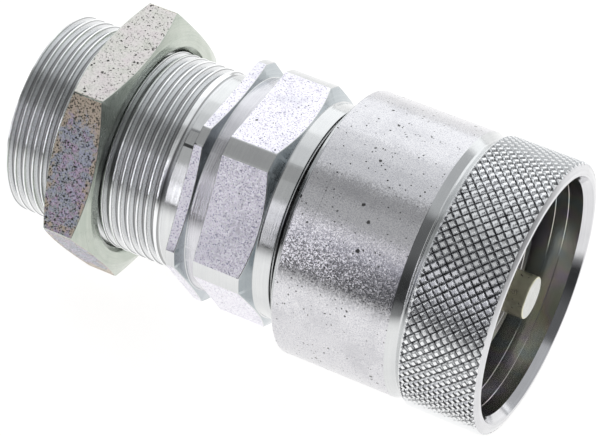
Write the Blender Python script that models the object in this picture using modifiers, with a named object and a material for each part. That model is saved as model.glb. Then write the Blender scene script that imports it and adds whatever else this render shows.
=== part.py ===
"""Bulkhead screw coupling, one half with its poppet valve, lying along +X.

The tube end is at low X and the open mouth of the union sleeve at high X.
Every turned piece is drawn as (station, radius) points along one axis: a
station is a distance from the face at which that piece is placed. Lengths are
in metres. The world origin is under the middle of the coupling, with +Z up.
"""

import math

import bmesh
import bpy
from mathutils import Matrix

# Fits and resolution
GAP = 0.0003
SEAL_GAP = 0.0003
ROUND_STEPS = 40
SMALL_STEPS = 32
RING_SIDES = 8
CUTTER_MARGIN = 0.004
WELD_DISTANCE = 0.00001

# Bulkhead thread, M42 x 2, and tube end of the body, for a tube of 30 mm
TUBE_END_WALL = 0.0043
THREAD_LENGTH = 0.0350
THREAD_PITCH = 0.0020
THREAD_GROOVE_DEPTH = 0.00112
THREAD_CREST_WIDTH = 0.00025
THREAD_START = 0.000325
THREAD_RUN_OUT = 0.0002
THREAD_CHAMFER = 0.0006
SHANK_DEPTH = 0.0005
SHANK_LENGTH = 0.0013
PILOT_STANDOUT = 0.0001
PILOT_LENGTH = 0.0038
TUBE_RADIUS = 0.0150
TUBE_CLEARANCE = 0.00005
TUBE_WALL = 0.0025
TUBE_DEPTH = 0.0135
CONE_WIDTH = 0.0016
CONE_HALF_ANGLE = math.radians(12)

# Hexagons of the body, both 46 mm across flats
SEAT_FACE_WIDTH = 0.0020
BODY_CORNER_CUT = 0.0011
BODY_HEX_ANGLE = math.radians(26.4)
SEAT_HEX_WIDTH = 0.0026
SEAT_HEX_CHAMFER = 0.0007
STRAP_GROOVE_WIDTH = 0.0035
STRAP_GROOVE_DEPTH = 0.0005
WRENCH_HEX_WIDTH = 0.0117
WRENCH_HEX_CHAMFER = 0.0017
COLLAR_STEP = 0.0004
COLLAR_LENGTH = 0.0039
COLLAR_EDGE = 0.0003

# Journal that carries the union sleeve
JOURNAL_WALL = 0.0022
JOURNAL_LENGTH = 0.0182
JOURNAL_EDGE = 0.0006
RETAINING_WIRE_RADIUS = 0.0014
RETAINING_WIRE_SPLIT = math.radians(16)
THRUST_WASHER_THICKNESS = 0.0010
THRUST_WASHER_WIDTH = 0.0033

# Valve chamber inside the body
CHAMBER_STEP = 0.0030
CHAMBER_START = 0.0440
GUIDE_RIM_LENGTH = 0.0030
GUIDE_RIM_WIDTH = 0.0018
GUIDE_HUB_LENGTH = 0.0117
GUIDE_HUB_WALL = 0.0016
GUIDE_ARM_COUNT = 3
GUIDE_ARM_WIDTH = 0.0030
BUSH_WALL = 0.0008
SNAP_RING_THICKNESS = 0.0012
SNAP_RING_WIDTH = 0.0024
SNAP_RING_SEATED = 0.0010
SNAP_RING_SPLIT = math.radians(34)

# Locknut on the bulkhead thread, 50 mm across flats
LOCKNUT_WALL = 0.0038
LOCKNUT_CORNER_CUT = 0.00027
LOCKNUT_HEX_ANGLE = math.radians(30)
LOCKNUT_WIDTH = 0.0104
LOCKNUT_STATION = 0.0123
LOCKNUT_CHAMFER = 0.0020
LOCKNUT_FACE_INSET = 0.0006
LOCKNUT_BORE_CHAMFER = 0.0009

# Union sleeve
SLEEVE_BACK_GAP = 0.0011
SLEEVE_LENGTH = 0.0450
SLEEVE_WALL = 0.00318
SLEEVE_BACK_BEVEL_LENGTH = 0.0018
SLEEVE_BACK_BEVEL_DEPTH = 0.0022
SLEEVE_FLANGE_LENGTH = 0.0046
SLEEVE_GROOVE_STATION = 0.0257
SLEEVE_GROOVE_LENGTH = 0.0031
SLEEVE_GROOVE_DEPTH = 0.0011
KNURL_HEIGHT = 0.0004
KNURL_LENGTH = 0.0156
KNURL_DEPTH = 0.0006
KNURL_CELL_LENGTH = 0.002094
KNURL_CELLS = 82
MOUTH_FACE_WIDTH = 0.0009
MOUTH_BEVEL_LENGTH = 0.0018
MOUTH_BEVEL_DEPTH = 0.00105
GUIDE_BORE_STEP = 0.0020
GUIDE_BORE_LENGTH = 0.0106
UNION_THREAD_CLEARANCE = 0.0034
UNION_THREAD_DEPTH = 0.0012
UNION_THREAD_LENGTH = 0.0190
UNION_THREAD_LEAD_IN = 0.0012

# Dust wiper in the back of the union sleeve
WIPER_WIDTH = 0.0020
WIPER_LENGTH = 0.0020
WIPER_STANDOUT = 0.0006

# Valve nose screwed into the front of the body
NOSE_BACK_SHANK = 0.0070
NOSE_SHANK_STEP = 0.0010
NOSE_SHANK_WALL = 0.0025
NOSE_FLANGE_INSET = 0.0004
NOSE_FLANGE_WIDTH = 0.0030
NOSE_STEP = 0.0007
NOSE_REACH = 0.0161
NOSE_THROAT_STEP = 0.0014
NOSE_THROAT_LENGTH = 0.0100
NOSE_SEAT_WIDTH = 0.0028
NOSE_MOUTH_LENGTH = 0.0020
NOSE_FRONT_EDGE = 0.0005

# Seals on the nose
SHANK_SEAL_SECTION = 0.0012
SHANK_SEAL_OFFSET = 0.0008
NOSE_SEAL_SECTION = 0.0016
NOSE_SEAL_STANDOUT = 0.0002
NOSE_SEAL_SETBACK = 0.0059
BACKUP_RING_WIDTH = 0.0012

# Poppet, its seal and its tappet pin
POPPET_RECESS = 0.0002
POPPET_HEAD_LENGTH = 0.0068
POPPET_HEAD_SHOULDER = 0.0018
POPPET_SPIGOT_LENGTH = 0.0021
POPPET_CLAMP_THICKNESS = 0.0021
POPPET_CLEARANCE = 0.0010
STEM_RADIUS = 0.0030
STEM_TAIL = 0.0022
SPRING_PILOT_LENGTH = 0.0025
SPRING_PILOT_RADIUS = 0.0066
POPPET_SEAL_SECTION = 0.0018
PIN_RADIUS = 0.00435
PIN_REACH = 0.0070
PIN_EDGE = 0.0003
PIN_THREAD_RADIUS = 0.0026
PIN_THREAD_DEPTH = 0.0066
STOP_RING_THICKNESS = 0.0008
STOP_RING_RADIUS = 0.0042
STOP_GROOVE_DEPTH = 0.0009
STOP_RING_SPLIT = math.radians(60)

# Return spring
SPRING_MEAN_RADIUS = 0.0080
SPRING_WIRE_RADIUS = 0.0009
SPRING_TURNS = 7
SPRING_POINTS_PER_TURN = 16
SPRING_SEAT_THICKNESS = 0.0008
SPRING_SEAT_MARGIN = 0.0005

# Radii, each from the one that it fits
CONE_MOUTH_RADIUS = TUBE_RADIUS + CONE_WIDTH
THREAD_RADIUS = CONE_MOUTH_RADIUS + TUBE_END_WALL
PILOT_RADIUS = THREAD_RADIUS + PILOT_STANDOUT
SHANK_RADIUS = THREAD_RADIUS - SHANK_DEPTH
FLOW_RADIUS = TUBE_RADIUS - TUBE_WALL
CHAMBER_RADIUS = FLOW_RADIUS + CHAMBER_STEP
BODY_FLATS = 2 * (PILOT_RADIUS + SEAT_FACE_WIDTH)
BODY_CORNER_RADIUS = BODY_FLATS / math.sqrt(3) - BODY_CORNER_CUT
BODY_CORE_RADIUS = BODY_FLATS / 2 - STRAP_GROOVE_DEPTH
COLLAR_RADIUS = BODY_FLATS / 2 - COLLAR_STEP
LOCKNUT_BORE_RADIUS = THREAD_RADIUS + GAP
LOCKNUT_FLATS = 2 * (LOCKNUT_BORE_RADIUS + LOCKNUT_WALL)
LOCKNUT_CORNER_RADIUS = LOCKNUT_FLATS / math.sqrt(3) - LOCKNUT_CORNER_CUT
NOSE_SHANK_RADIUS = CHAMBER_RADIUS + NOSE_SHANK_STEP
NOSE_SOCKET_RADIUS = NOSE_SHANK_RADIUS + GAP
NOSE_RADIUS = NOSE_SHANK_RADIUS - NOSE_STEP
NOSE_CHAMBER_RADIUS = NOSE_SHANK_RADIUS - NOSE_SHANK_WALL
NOSE_THROAT_RADIUS = NOSE_CHAMBER_RADIUS - NOSE_THROAT_STEP
NOSE_MOUTH_RADIUS = NOSE_THROAT_RADIUS - NOSE_SEAT_WIDTH
JOURNAL_RADIUS = NOSE_SOCKET_RADIUS + JOURNAL_WALL
NOSE_FLANGE_RADIUS = JOURNAL_RADIUS - NOSE_FLANGE_INSET
WIRE_GROOVE_RADIUS = JOURNAL_RADIUS - RETAINING_WIRE_RADIUS
WIRE_CENTRE_RADIUS = WIRE_GROOVE_RADIUS + GAP + RETAINING_WIRE_RADIUS
SLEEVE_BORE_RADIUS = JOURNAL_RADIUS + GAP
UNION_THREAD_BORE_RADIUS = JOURNAL_RADIUS + UNION_THREAD_CLEARANCE
UNION_RELIEF_RADIUS = UNION_THREAD_BORE_RADIUS + UNION_THREAD_DEPTH
GUIDE_BORE_RADIUS = UNION_THREAD_BORE_RADIUS + GUIDE_BORE_STEP
MOUTH_RADIUS = GUIDE_BORE_RADIUS + MOUTH_BEVEL_DEPTH
MOUTH_FACE_RADIUS = MOUTH_RADIUS + MOUTH_FACE_WIDTH
SLEEVE_RADIUS = GUIDE_BORE_RADIUS + SLEEVE_WALL
KNURL_RADIUS = SLEEVE_RADIUS + KNURL_HEIGHT
BUSH_BORE_RADIUS = STEM_RADIUS + GAP
BUSH_RADIUS = BUSH_BORE_RADIUS + BUSH_WALL
HUB_BORE_RADIUS = BUSH_RADIUS + GAP
HUB_RADIUS = HUB_BORE_RADIUS + GUIDE_HUB_WALL
GUIDE_RIM_RADIUS = CHAMBER_RADIUS - GAP
SNAP_RING_RADIUS = CHAMBER_RADIUS + SNAP_RING_SEATED
SNAP_GROOVE_RADIUS = SNAP_RING_RADIUS + GAP
CLAMP_RADIUS = NOSE_MOUTH_RADIUS - GAP
POPPET_HEAD_RADIUS = NOSE_THROAT_RADIUS - POPPET_CLEARANCE
PIN_HOLE_RADIUS = PIN_THREAD_RADIUS + GAP
STANDING_HEIGHT = max(KNURL_RADIUS, LOCKNUT_FLATS / 2)
SLEEVE_STEPS = KNURL_CELLS // 2

# Stations along the axis, from the tube end's face
THREAD_END = THREAD_LENGTH
PILOT_START = THREAD_END + SHANK_LENGTH
SEAT_FACE = PILOT_START + PILOT_LENGTH
SEAT_HEX_END = SEAT_FACE + SEAT_HEX_WIDTH
WRENCH_HEX_START = SEAT_HEX_END + STRAP_GROOVE_WIDTH
WRENCH_HEX_END = WRENCH_HEX_START + WRENCH_HEX_WIDTH
COLLAR_END = WRENCH_HEX_END + COLLAR_LENGTH
BODY_FRONT = COLLAR_END + JOURNAL_LENGTH
SLEEVE_BACK = COLLAR_END + SLEEVE_BACK_GAP
SLEEVE_FRONT = SLEEVE_BACK + SLEEVE_LENGTH
FLANGE_FRONT = SLEEVE_BACK + SLEEVE_FLANGE_LENGTH
THRUST_WASHER_STATION = FLANGE_FRONT + GAP
WIRE_GROOVE_START = THRUST_WASHER_STATION + THRUST_WASHER_THICKNESS
WIRE_STATION = WIRE_GROOVE_START + GAP + RETAINING_WIRE_RADIUS
WIRE_GROOVE_END = WIRE_STATION + RETAINING_WIRE_RADIUS + GAP
NOSE_FLANGE_START = BODY_FRONT + GAP
NOSE_FLANGE_END = NOSE_FLANGE_START + NOSE_FLANGE_WIDTH
NOSE_BACK = BODY_FRONT - NOSE_BACK_SHANK
NOSE_FRONT = NOSE_FLANGE_END + NOSE_REACH
NOSE_SOCKET_START = NOSE_BACK - GAP
NOSE_CONE_FRONT = NOSE_FRONT - NOSE_MOUTH_LENGTH
NOSE_CONE_BACK = NOSE_CONE_FRONT - (NOSE_THROAT_RADIUS - NOSE_MOUTH_RADIUS)
NOSE_THROAT_BACK = NOSE_FRONT - NOSE_THROAT_LENGTH
GUIDE_STATION = CHAMBER_START + GAP
SNAP_RING_STATION = GUIDE_STATION + GUIDE_RIM_LENGTH + GAP
SPRING_SEAT_STATION = GUIDE_STATION + GUIDE_RIM_LENGTH + GAP
SPRING_START = SPRING_SEAT_STATION + SPRING_SEAT_THICKNESS + GAP
CLAMP_FRONT = NOSE_FRONT - POPPET_RECESS
CLAMP_BACK = CLAMP_FRONT - POPPET_CLAMP_THICKNESS
SPIGOT_FRONT = CLAMP_BACK - GAP
HEAD_FRONT = SPIGOT_FRONT - POPPET_SPIGOT_LENGTH
HEAD_BACK = HEAD_FRONT - POPPET_HEAD_LENGTH
SPRING_END = HEAD_BACK - GAP
STEM_BACK = GUIDE_STATION - STEM_TAIL
STOP_RING_STATION = GUIDE_STATION - GAP - STOP_RING_THICKNESS
PIN_SHOULDER = CLAMP_FRONT + GAP
PIN_FRONT = NOSE_FRONT + PIN_REACH


def new_collection(name):
    collection = bpy.data.collections.new(name)
    bpy.context.scene.collection.children.link(collection)
    return collection


def new_material(name, colour, roughness, metallic):
    material = bpy.data.materials.new(name)
    material.use_nodes = True
    shader = material.node_tree.nodes["Principled BSDF"]
    shader.inputs["Base Color"].default_value = (*colour, 1)
    shader.inputs["Roughness"].default_value = roughness
    shader.inputs["Metallic"].default_value = metallic
    return material


def clear_scene():
    for thing in list(bpy.data.objects):
        bpy.data.objects.remove(thing, do_unlink=True)


clear_scene()
PARTS = new_collection("bulkhead_screw_coupling")
CUTTERS = new_collection("cutters")

AXIS = bpy.data.objects.new("coupling_axis", None)
AXIS.location = (-SLEEVE_FRONT / 2, 0, STANDING_HEIGHT)
AXIS.rotation_euler = (0, math.pi / 2, 0)
PARTS.objects.link(AXIS)


def add_object(name, data, station, collection=PARTS):
    """An object on the coupling's axis: its local Z runs along the world's X."""
    thing = bpy.data.objects.new(name, data)
    collection.objects.link(thing)
    thing.parent = AXIS
    thing.location = (0, 0, station)
    if collection is CUTTERS:
        thing.hide_render = True
        thing.display_type = "WIRE"
    return thing


def add_boolean(thing, other, operation):
    boolean = thing.modifiers.new(operation.lower(), "BOOLEAN")
    boolean.operation = operation
    boolean.object = other
    boolean.solver = "EXACT"


def turned(name, station, outside, bore=(), steps=ROUND_STEPS, collection=PARTS):
    """A lathe-turned piece: outside and bore are (station, radius) points from back to front."""
    if bore:
        loop = list(reversed(outside)) + list(bore)
    else:
        loop = [(outside[-1][0], 0)] + list(reversed(outside)) + [(outside[0][0], 0)]
    mesh = bpy.data.meshes.new(name)
    points = [(radius, 0, along) for along, radius in loop]
    edges = [(i, i + 1) for i in range(len(loop) - 1)]
    if bore:
        edges.append((len(loop) - 1, 0))
    mesh.from_pydata(points, edges, [])
    thing = add_object(name, mesh, station, collection)
    screw = thing.modifiers.new("turn", "SCREW")
    screw.axis = "Z"
    screw.steps = steps
    screw.render_steps = steps
    screw.use_merge_vertices = True
    screw.merge_threshold = WELD_DISTANCE
    return thing


def skin(name, station, points, faces):
    """A closed mesh of (station, radius, share of a turn) points, welded where they meet."""
    places = [
        (radius * math.cos(2 * math.pi * turn), radius * math.sin(2 * math.pi * turn), along)
        for along, radius, turn in points
    ]
    mesh = bpy.data.meshes.new(name)
    mesh.from_pydata(places, [], faces)
    shape = bmesh.new()
    shape.from_mesh(mesh)
    bmesh.ops.remove_doubles(shape, verts=shape.verts, dist=WELD_DISTANCE)
    bmesh.ops.recalc_face_normals(shape, faces=shape.faces)
    shape.to_mesh(mesh)
    shape.free()
    return add_object(name, mesh, station)


def split_square(points, a, b, c, d):
    """Two triangles of a square, split along its lower diagonal: a and b lie on one ring."""
    if points[a][1] + points[d][1] < points[b][1] + points[c][1]:
        return [(a, b, d), (a, d, c)]
    return [(a, b, c), (b, d, c)]


def ringed(name, station, rings):
    """A closed piece through rings of (station, radii), each with its own count of points."""
    points = []
    loops = []
    for along, radii in rings:
        first = len(points)
        count = len(radii)
        points += [(along, radius, i / count) for i, radius in enumerate(radii)]
        loops.append([first + i % count for i in range(count + 1)])
    faces = []
    for near, far in zip(loops, loops[1:] + loops[:1]):
        few = min(len(near), len(far)) - 1
        near_step = (len(near) - 1) // few
        far_step = (len(far) - 1) // few
        for i in range(few):
            near_side = near[i * near_step : (i + 1) * near_step + 1]
            far_side = far[i * far_step : (i + 1) * far_step + 1]
            if near_step == far_step:
                faces += split_square(points, *near_side, *far_side)
            else:
                faces.append(near_side + far_side[::-1])
    return skin(name, station, points, faces)


def prism(name, station, sides, radius, length, angle):
    """A cutter in the shape of a straight prism, with one corner at the given angle."""
    mesh = bpy.data.meshes.new(name)
    shape = bmesh.new()
    bmesh.ops.create_cone(
        shape, cap_ends=True, segments=sides, radius1=radius, radius2=radius, depth=length
    )
    turn = Matrix.Rotation(angle - first_corner_angle(shape), 3, "Z")
    bmesh.ops.rotate(shape, verts=shape.verts, cent=(0, 0, 0), matrix=turn)
    bmesh.ops.translate(shape, verts=shape.verts, vec=(0, 0, length / 2))
    shape.to_mesh(mesh)
    shape.free()
    return add_object(name, mesh, station, CUTTERS)


def first_corner_angle(shape):
    shape.verts.ensure_lookup_table()
    corner = shape.verts[0].co
    return math.atan2(corner.y, corner.x)


def hex_prism(name, station, across_flats, length, corner_angle):
    corner_radius = across_flats / math.sqrt(3)
    return prism(name, station, 6, corner_radius, length, corner_angle)


def box(name, station, size, offset, angle=0.0):
    """A cutter in the shape of a box, offset from the axis and turned about it."""
    mesh = bpy.data.meshes.new(name)
    shape = bmesh.new()
    bmesh.ops.create_cube(shape, size=1)
    bmesh.ops.scale(shape, verts=shape.verts, vec=size)
    bmesh.ops.translate(shape, verts=shape.verts, vec=offset)
    shape.to_mesh(mesh)
    shape.free()
    thing = add_object(name, mesh, station, CUTTERS)
    thing.rotation_euler = (0, 0, angle)
    return thing


def seal_ring(name, station, centre_radius, section, steps=SMALL_STEPS):
    """A ring of round section; station is the middle of its section."""
    corners = [
        (
            section / 2 * math.sin(2 * math.pi * side / RING_SIDES),
            centre_radius + section / 2 * math.cos(2 * math.pi * side / RING_SIDES),
        )
        for side in range(RING_SIDES)
    ]
    half = RING_SIDES // 2
    outside = sorted(corners[: half // 2 + 1] + corners[half + half // 2 :])
    bore = sorted(corners[half // 2 + 1 : half + half // 2])
    return turned(name, station, outside, bore, steps)


def wire_path(name, station, points, wire_radius):
    """A round wire along a list of points, as a mesh with welded end caps."""
    curve = bpy.data.curves.new(name, "CURVE")
    curve.dimensions = "3D"
    curve.bevel_depth = wire_radius
    curve.bevel_resolution = 2
    curve.use_fill_caps = True
    spline = curve.splines.new("POLY")
    spline.points.add(len(points) - 1)
    for spot, point in zip(spline.points, points):
        spot.co = (*point, 1)
    return add_object(name, curve, station)


def cut_split(ring, name, station, length, radius, angle):
    """Opens a ring at the top over the given angle."""
    width = 2 * radius * math.sin(angle / 2)
    size = (2 * radius, width, length + 2 * CUTTER_MARGIN)
    cutter = box(name, station, size, (-radius, 0, length / 2))
    add_boolean(ring, cutter, "DIFFERENCE")


# Sub-parts


def clamp(value, low, high):
    return min(max(value, low), high)


def thread_radius(along, turn):
    """Radius of the bulkhead thread at a station and a share of a turn round the axis."""
    centre = THREAD_START + THREAD_PITCH * turn
    centre += THREAD_PITCH * round((along - centre) / THREAD_PITCH)
    half_groove = (THREAD_PITCH - THREAD_CREST_WIDTH) / 2
    depth = THREAD_GROOVE_DEPTH * clamp(1 - abs(along - centre) / half_groove, 0, 1)
    depth *= clamp((THREAD_END - centre) / THREAD_RUN_OUT + 1, 0, 1)
    chamfered = THREAD_RADIUS - max(THREAD_CHAMFER - along, 0)
    return min(THREAD_RADIUS - depth, chamfered)


def thread_points(turn):
    """Crest and root points of the right-hand thread in one plane through the axis."""
    half_groove = (THREAD_PITCH - THREAD_CREST_WIDTH) / 2
    points = []
    for groove in range(-2, math.ceil(THREAD_END / THREAD_PITCH) + 1):
        centre = THREAD_START + THREAD_PITCH * (groove + turn)
        for offset in (-half_groove, 0, half_groove):
            along = clamp(centre + offset, 0, THREAD_END)
            points.append((along, thread_radius(along, turn)))
    return points


def threaded(name, outside, bore):
    """A turned piece whose outside begins with the bulkhead thread."""
    points = []
    for column in range(ROUND_STEPS + 1):
        turn = column / ROUND_STEPS
        loop = thread_points(turn) + outside + list(reversed(bore))
        points += [(along, radius, turn) for along, radius in loop]
    count = len(points) // (ROUND_STEPS + 1)
    faces = [
        (first + k, first + (k + 1) % count, first + count + (k + 1) % count, first + count + k)
        for first in range(0, ROUND_STEPS * count, count)
        for k in range(count)
    ]
    return skin(name, 0, points, faces)


def coupling_body(material):
    corner_back = WRENCH_HEX_END - WRENCH_HEX_CHAMFER
    cone_depth = (CONE_MOUTH_RADIUS - TUBE_RADIUS - TUBE_CLEARANCE) / math.tan(CONE_HALF_ANGLE)
    outside = [
        (THREAD_END + THREAD_RADIUS - SHANK_RADIUS, SHANK_RADIUS),
        (PILOT_START, SHANK_RADIUS),
        (PILOT_START, PILOT_RADIUS),
        (SEAT_FACE, PILOT_RADIUS),
        (SEAT_FACE, BODY_CORNER_RADIUS),
        (SEAT_HEX_END - SEAT_HEX_CHAMFER, BODY_CORNER_RADIUS),
        (SEAT_HEX_END, BODY_CORE_RADIUS),
        (WRENCH_HEX_START, BODY_CORE_RADIUS),
        (WRENCH_HEX_START, BODY_CORNER_RADIUS),
        (corner_back, BODY_CORNER_RADIUS),
        (WRENCH_HEX_END, COLLAR_RADIUS),
        (COLLAR_END - COLLAR_EDGE, COLLAR_RADIUS),
        (COLLAR_END, COLLAR_RADIUS - COLLAR_EDGE),
        (COLLAR_END, JOURNAL_RADIUS),
        (WIRE_GROOVE_START, JOURNAL_RADIUS),
        (WIRE_GROOVE_START, WIRE_GROOVE_RADIUS),
        (WIRE_GROOVE_END, WIRE_GROOVE_RADIUS),
        (WIRE_GROOVE_END, JOURNAL_RADIUS),
        (BODY_FRONT - JOURNAL_EDGE, JOURNAL_RADIUS),
        (BODY_FRONT, JOURNAL_RADIUS - JOURNAL_EDGE),
    ]
    bore = [
        (0, CONE_MOUTH_RADIUS),
        (cone_depth, TUBE_RADIUS + TUBE_CLEARANCE),
        (TUBE_DEPTH, TUBE_RADIUS + TUBE_CLEARANCE),
        (TUBE_DEPTH, FLOW_RADIUS),
        (CHAMBER_START, FLOW_RADIUS),
        (CHAMBER_START, CHAMBER_RADIUS),
        (SNAP_RING_STATION - GAP, CHAMBER_RADIUS),
        (SNAP_RING_STATION - GAP, SNAP_GROOVE_RADIUS),
        (SNAP_RING_STATION + SNAP_RING_THICKNESS + GAP, SNAP_GROOVE_RADIUS),
        (SNAP_RING_STATION + SNAP_RING_THICKNESS + GAP, CHAMBER_RADIUS),
        (NOSE_SOCKET_START, CHAMBER_RADIUS),
        (NOSE_SOCKET_START, NOSE_SOCKET_RADIUS),
        (BODY_FRONT, NOSE_SOCKET_RADIUS),
    ]
    body = threaded("coupling_body", outside, bore)
    flats_start = PILOT_START
    flats_length = COLLAR_END - flats_start
    shell = prism(
        "body_flats_cutter",
        flats_start,
        ROUND_STEPS,
        2 * BODY_CORNER_RADIUS,
        flats_length,
        0,
    )
    core = hex_prism(
        "body_hex_core",
        flats_start - CUTTER_MARGIN,
        BODY_FLATS,
        flats_length + 2 * CUTTER_MARGIN,
        BODY_HEX_ANGLE,
    )
    add_boolean(shell, core, "DIFFERENCE")
    add_boolean(body, shell, "DIFFERENCE")
    body.data.materials.append(material)
    return body


def bulkhead_locknut(material):
    face_radius = LOCKNUT_FLATS / 2 - LOCKNUT_FACE_INSET
    outside = [
        (0, face_radius),
        (LOCKNUT_CHAMFER, LOCKNUT_CORNER_RADIUS),
        (LOCKNUT_WIDTH - LOCKNUT_CHAMFER, LOCKNUT_CORNER_RADIUS),
        (LOCKNUT_WIDTH, face_radius),
    ]
    bore = [
        (0, LOCKNUT_BORE_RADIUS + LOCKNUT_BORE_CHAMFER),
        (LOCKNUT_BORE_CHAMFER, LOCKNUT_BORE_RADIUS),
        (LOCKNUT_WIDTH - LOCKNUT_BORE_CHAMFER, LOCKNUT_BORE_RADIUS),
        (LOCKNUT_WIDTH, LOCKNUT_BORE_RADIUS + LOCKNUT_BORE_CHAMFER),
    ]
    nut = turned("bulkhead_locknut", LOCKNUT_STATION, outside, bore)
    flats = hex_prism(
        "locknut_flats",
        LOCKNUT_STATION - CUTTER_MARGIN,
        LOCKNUT_FLATS,
        LOCKNUT_WIDTH + 2 * CUTTER_MARGIN,
        LOCKNUT_HEX_ANGLE,
    )
    add_boolean(nut, flats, "INTERSECT")
    nut.data.materials.append(material)
    return nut


def round_rings(profile):
    return [(along, [radius] * SLEEVE_STEPS) for along, radius in profile]


def knurl_rings():
    """Rings on which tops of the knurl's diamonds and crossings of its grooves take turns."""
    start = SLEEVE_GROOVE_STATION + SLEEVE_GROOVE_LENGTH
    step = KNURL_CELL_LENGTH / 2
    columns = range(2 * KNURL_CELLS)
    rings = [(start, [SLEEVE_RADIUS for _ in columns])]
    for row in range(1, math.ceil(KNURL_LENGTH / step) + 1):
        along = start + min(row * step, KNURL_LENGTH)
        radii = [KNURL_RADIUS - KNURL_DEPTH * ((column + row + 1) % 2) for column in columns]
        rings.append((along, radii))
    return rings


def union_sleeve(material):
    outside = [
        (0, SLEEVE_RADIUS - SLEEVE_BACK_BEVEL_DEPTH),
        (SLEEVE_BACK_BEVEL_LENGTH, SLEEVE_RADIUS),
        (SLEEVE_GROOVE_STATION, SLEEVE_RADIUS),
        (SLEEVE_GROOVE_STATION + SLEEVE_GROOVE_DEPTH, SLEEVE_RADIUS - SLEEVE_GROOVE_DEPTH),
    ]
    mouth_back = SLEEVE_LENGTH - MOUTH_BEVEL_LENGTH
    thread_front = mouth_back - GUIDE_BORE_LENGTH
    thread_back = thread_front - UNION_THREAD_LENGTH
    lead = UNION_RELIEF_RADIUS - UNION_THREAD_BORE_RADIUS
    wiper_seat = SLEEVE_BORE_RADIUS + WIPER_WIDTH + SEAL_GAP
    wiper_floor = WIPER_LENGTH - WIPER_STANDOUT + SEAL_GAP
    bore = [
        (0, wiper_seat),
        (wiper_floor, wiper_seat),
        (wiper_floor, SLEEVE_BORE_RADIUS),
        (SLEEVE_FLANGE_LENGTH, SLEEVE_BORE_RADIUS),
        (SLEEVE_FLANGE_LENGTH, UNION_RELIEF_RADIUS),
        (thread_back - lead, UNION_RELIEF_RADIUS),
        (thread_back, UNION_THREAD_BORE_RADIUS),
        (thread_front - UNION_THREAD_LEAD_IN, UNION_THREAD_BORE_RADIUS),
        (thread_front, GUIDE_BORE_RADIUS),
        (mouth_back, GUIDE_BORE_RADIUS),
        (SLEEVE_LENGTH, MOUTH_RADIUS),
        (SLEEVE_LENGTH, MOUTH_FACE_RADIUS),
    ]
    rings = round_rings(outside) + knurl_rings() + round_rings(reversed(bore))
    sleeve = ringed("union_sleeve", SLEEVE_BACK, rings)
    sleeve.data.materials.append(material)
    return sleeve


def sleeve_wiper(material):
    inner = SLEEVE_BORE_RADIUS
    outer = inner + WIPER_WIDTH
    edge = WIPER_STANDOUT / 2
    ring = turned(
        "sleeve_wiper_ring",
        SLEEVE_BACK - WIPER_STANDOUT,
        [(0, outer - edge), (edge, outer), (WIPER_LENGTH, outer)],
        [(0, inner), (WIPER_LENGTH, inner)],
    )
    ring.data.materials.append(material)
    return ring


def sleeve_thrust_washer(material):
    inner = JOURNAL_RADIUS + GAP
    outer = inner + THRUST_WASHER_WIDTH
    washer = turned(
        "sleeve_thrust_washer",
        THRUST_WASHER_STATION,
        [(0, outer), (THRUST_WASHER_THICKNESS, outer)],
        [(0, inner), (THRUST_WASHER_THICKNESS, inner)],
    )
    washer.data.materials.append(material)
    return washer


def sleeve_retaining_ring(material):
    sweep = 2 * math.pi - RETAINING_WIRE_SPLIT
    start = math.pi + RETAINING_WIRE_SPLIT / 2
    points = [
        (
            WIRE_CENTRE_RADIUS * math.cos(start + sweep * i / ROUND_STEPS),
            WIRE_CENTRE_RADIUS * math.sin(start + sweep * i / ROUND_STEPS),
            0,
        )
        for i in range(ROUND_STEPS + 1)
    ]
    ring = wire_path("sleeve_retaining_ring", WIRE_STATION, points, RETAINING_WIRE_RADIUS)
    ring.data.materials.append(material)
    return ring


def shank_seal_groove():
    """Back and front stations and floor radius of the groove behind the nose's flange."""
    front = BODY_FRONT - SHANK_SEAL_OFFSET
    back = front - SHANK_SEAL_SECTION - 2 * SEAL_GAP
    return back, front, NOSE_SHANK_RADIUS - SHANK_SEAL_SECTION - SEAL_GAP


def nose_seal_groove():
    """Back and front stations and floor radius of the groove around the nose."""
    front = NOSE_FRONT - NOSE_SEAL_SETBACK
    back = front - NOSE_SEAL_SECTION - BACKUP_RING_WIDTH - 3 * SEAL_GAP
    return back, front, NOSE_RADIUS + NOSE_SEAL_STANDOUT - NOSE_SEAL_SECTION - SEAL_GAP


def valve_nose(material):
    shank_back, shank_front, shank_floor = shank_seal_groove()
    seal_back, seal_front, seal_floor = nose_seal_groove()
    step = NOSE_CHAMBER_RADIUS - NOSE_THROAT_RADIUS
    outside = [
        (NOSE_BACK, NOSE_SHANK_RADIUS),
        (shank_back, NOSE_SHANK_RADIUS),
        (shank_back, shank_floor),
        (shank_front, shank_floor),
        (shank_front, NOSE_SHANK_RADIUS),
        (NOSE_FLANGE_START, NOSE_SHANK_RADIUS),
        (NOSE_FLANGE_START, NOSE_FLANGE_RADIUS),
        (NOSE_FLANGE_END, NOSE_FLANGE_RADIUS),
        (NOSE_FLANGE_END, NOSE_RADIUS),
        (seal_back, NOSE_RADIUS),
        (seal_back, seal_floor),
        (seal_front, seal_floor),
        (seal_front, NOSE_RADIUS),
        (NOSE_FRONT - NOSE_FRONT_EDGE, NOSE_RADIUS),
        (NOSE_FRONT, NOSE_RADIUS - NOSE_FRONT_EDGE),
    ]
    bore = [
        (NOSE_BACK, NOSE_CHAMBER_RADIUS),
        (NOSE_THROAT_BACK - step, NOSE_CHAMBER_RADIUS),
        (NOSE_THROAT_BACK, NOSE_THROAT_RADIUS),
        (NOSE_CONE_BACK, NOSE_THROAT_RADIUS),
        (NOSE_CONE_FRONT, NOSE_MOUTH_RADIUS),
        (NOSE_FRONT, NOSE_MOUTH_RADIUS),
    ]
    nose = turned("valve_nose", 0, outside, bore)
    nose.data.materials.append(material)
    return nose


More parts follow.
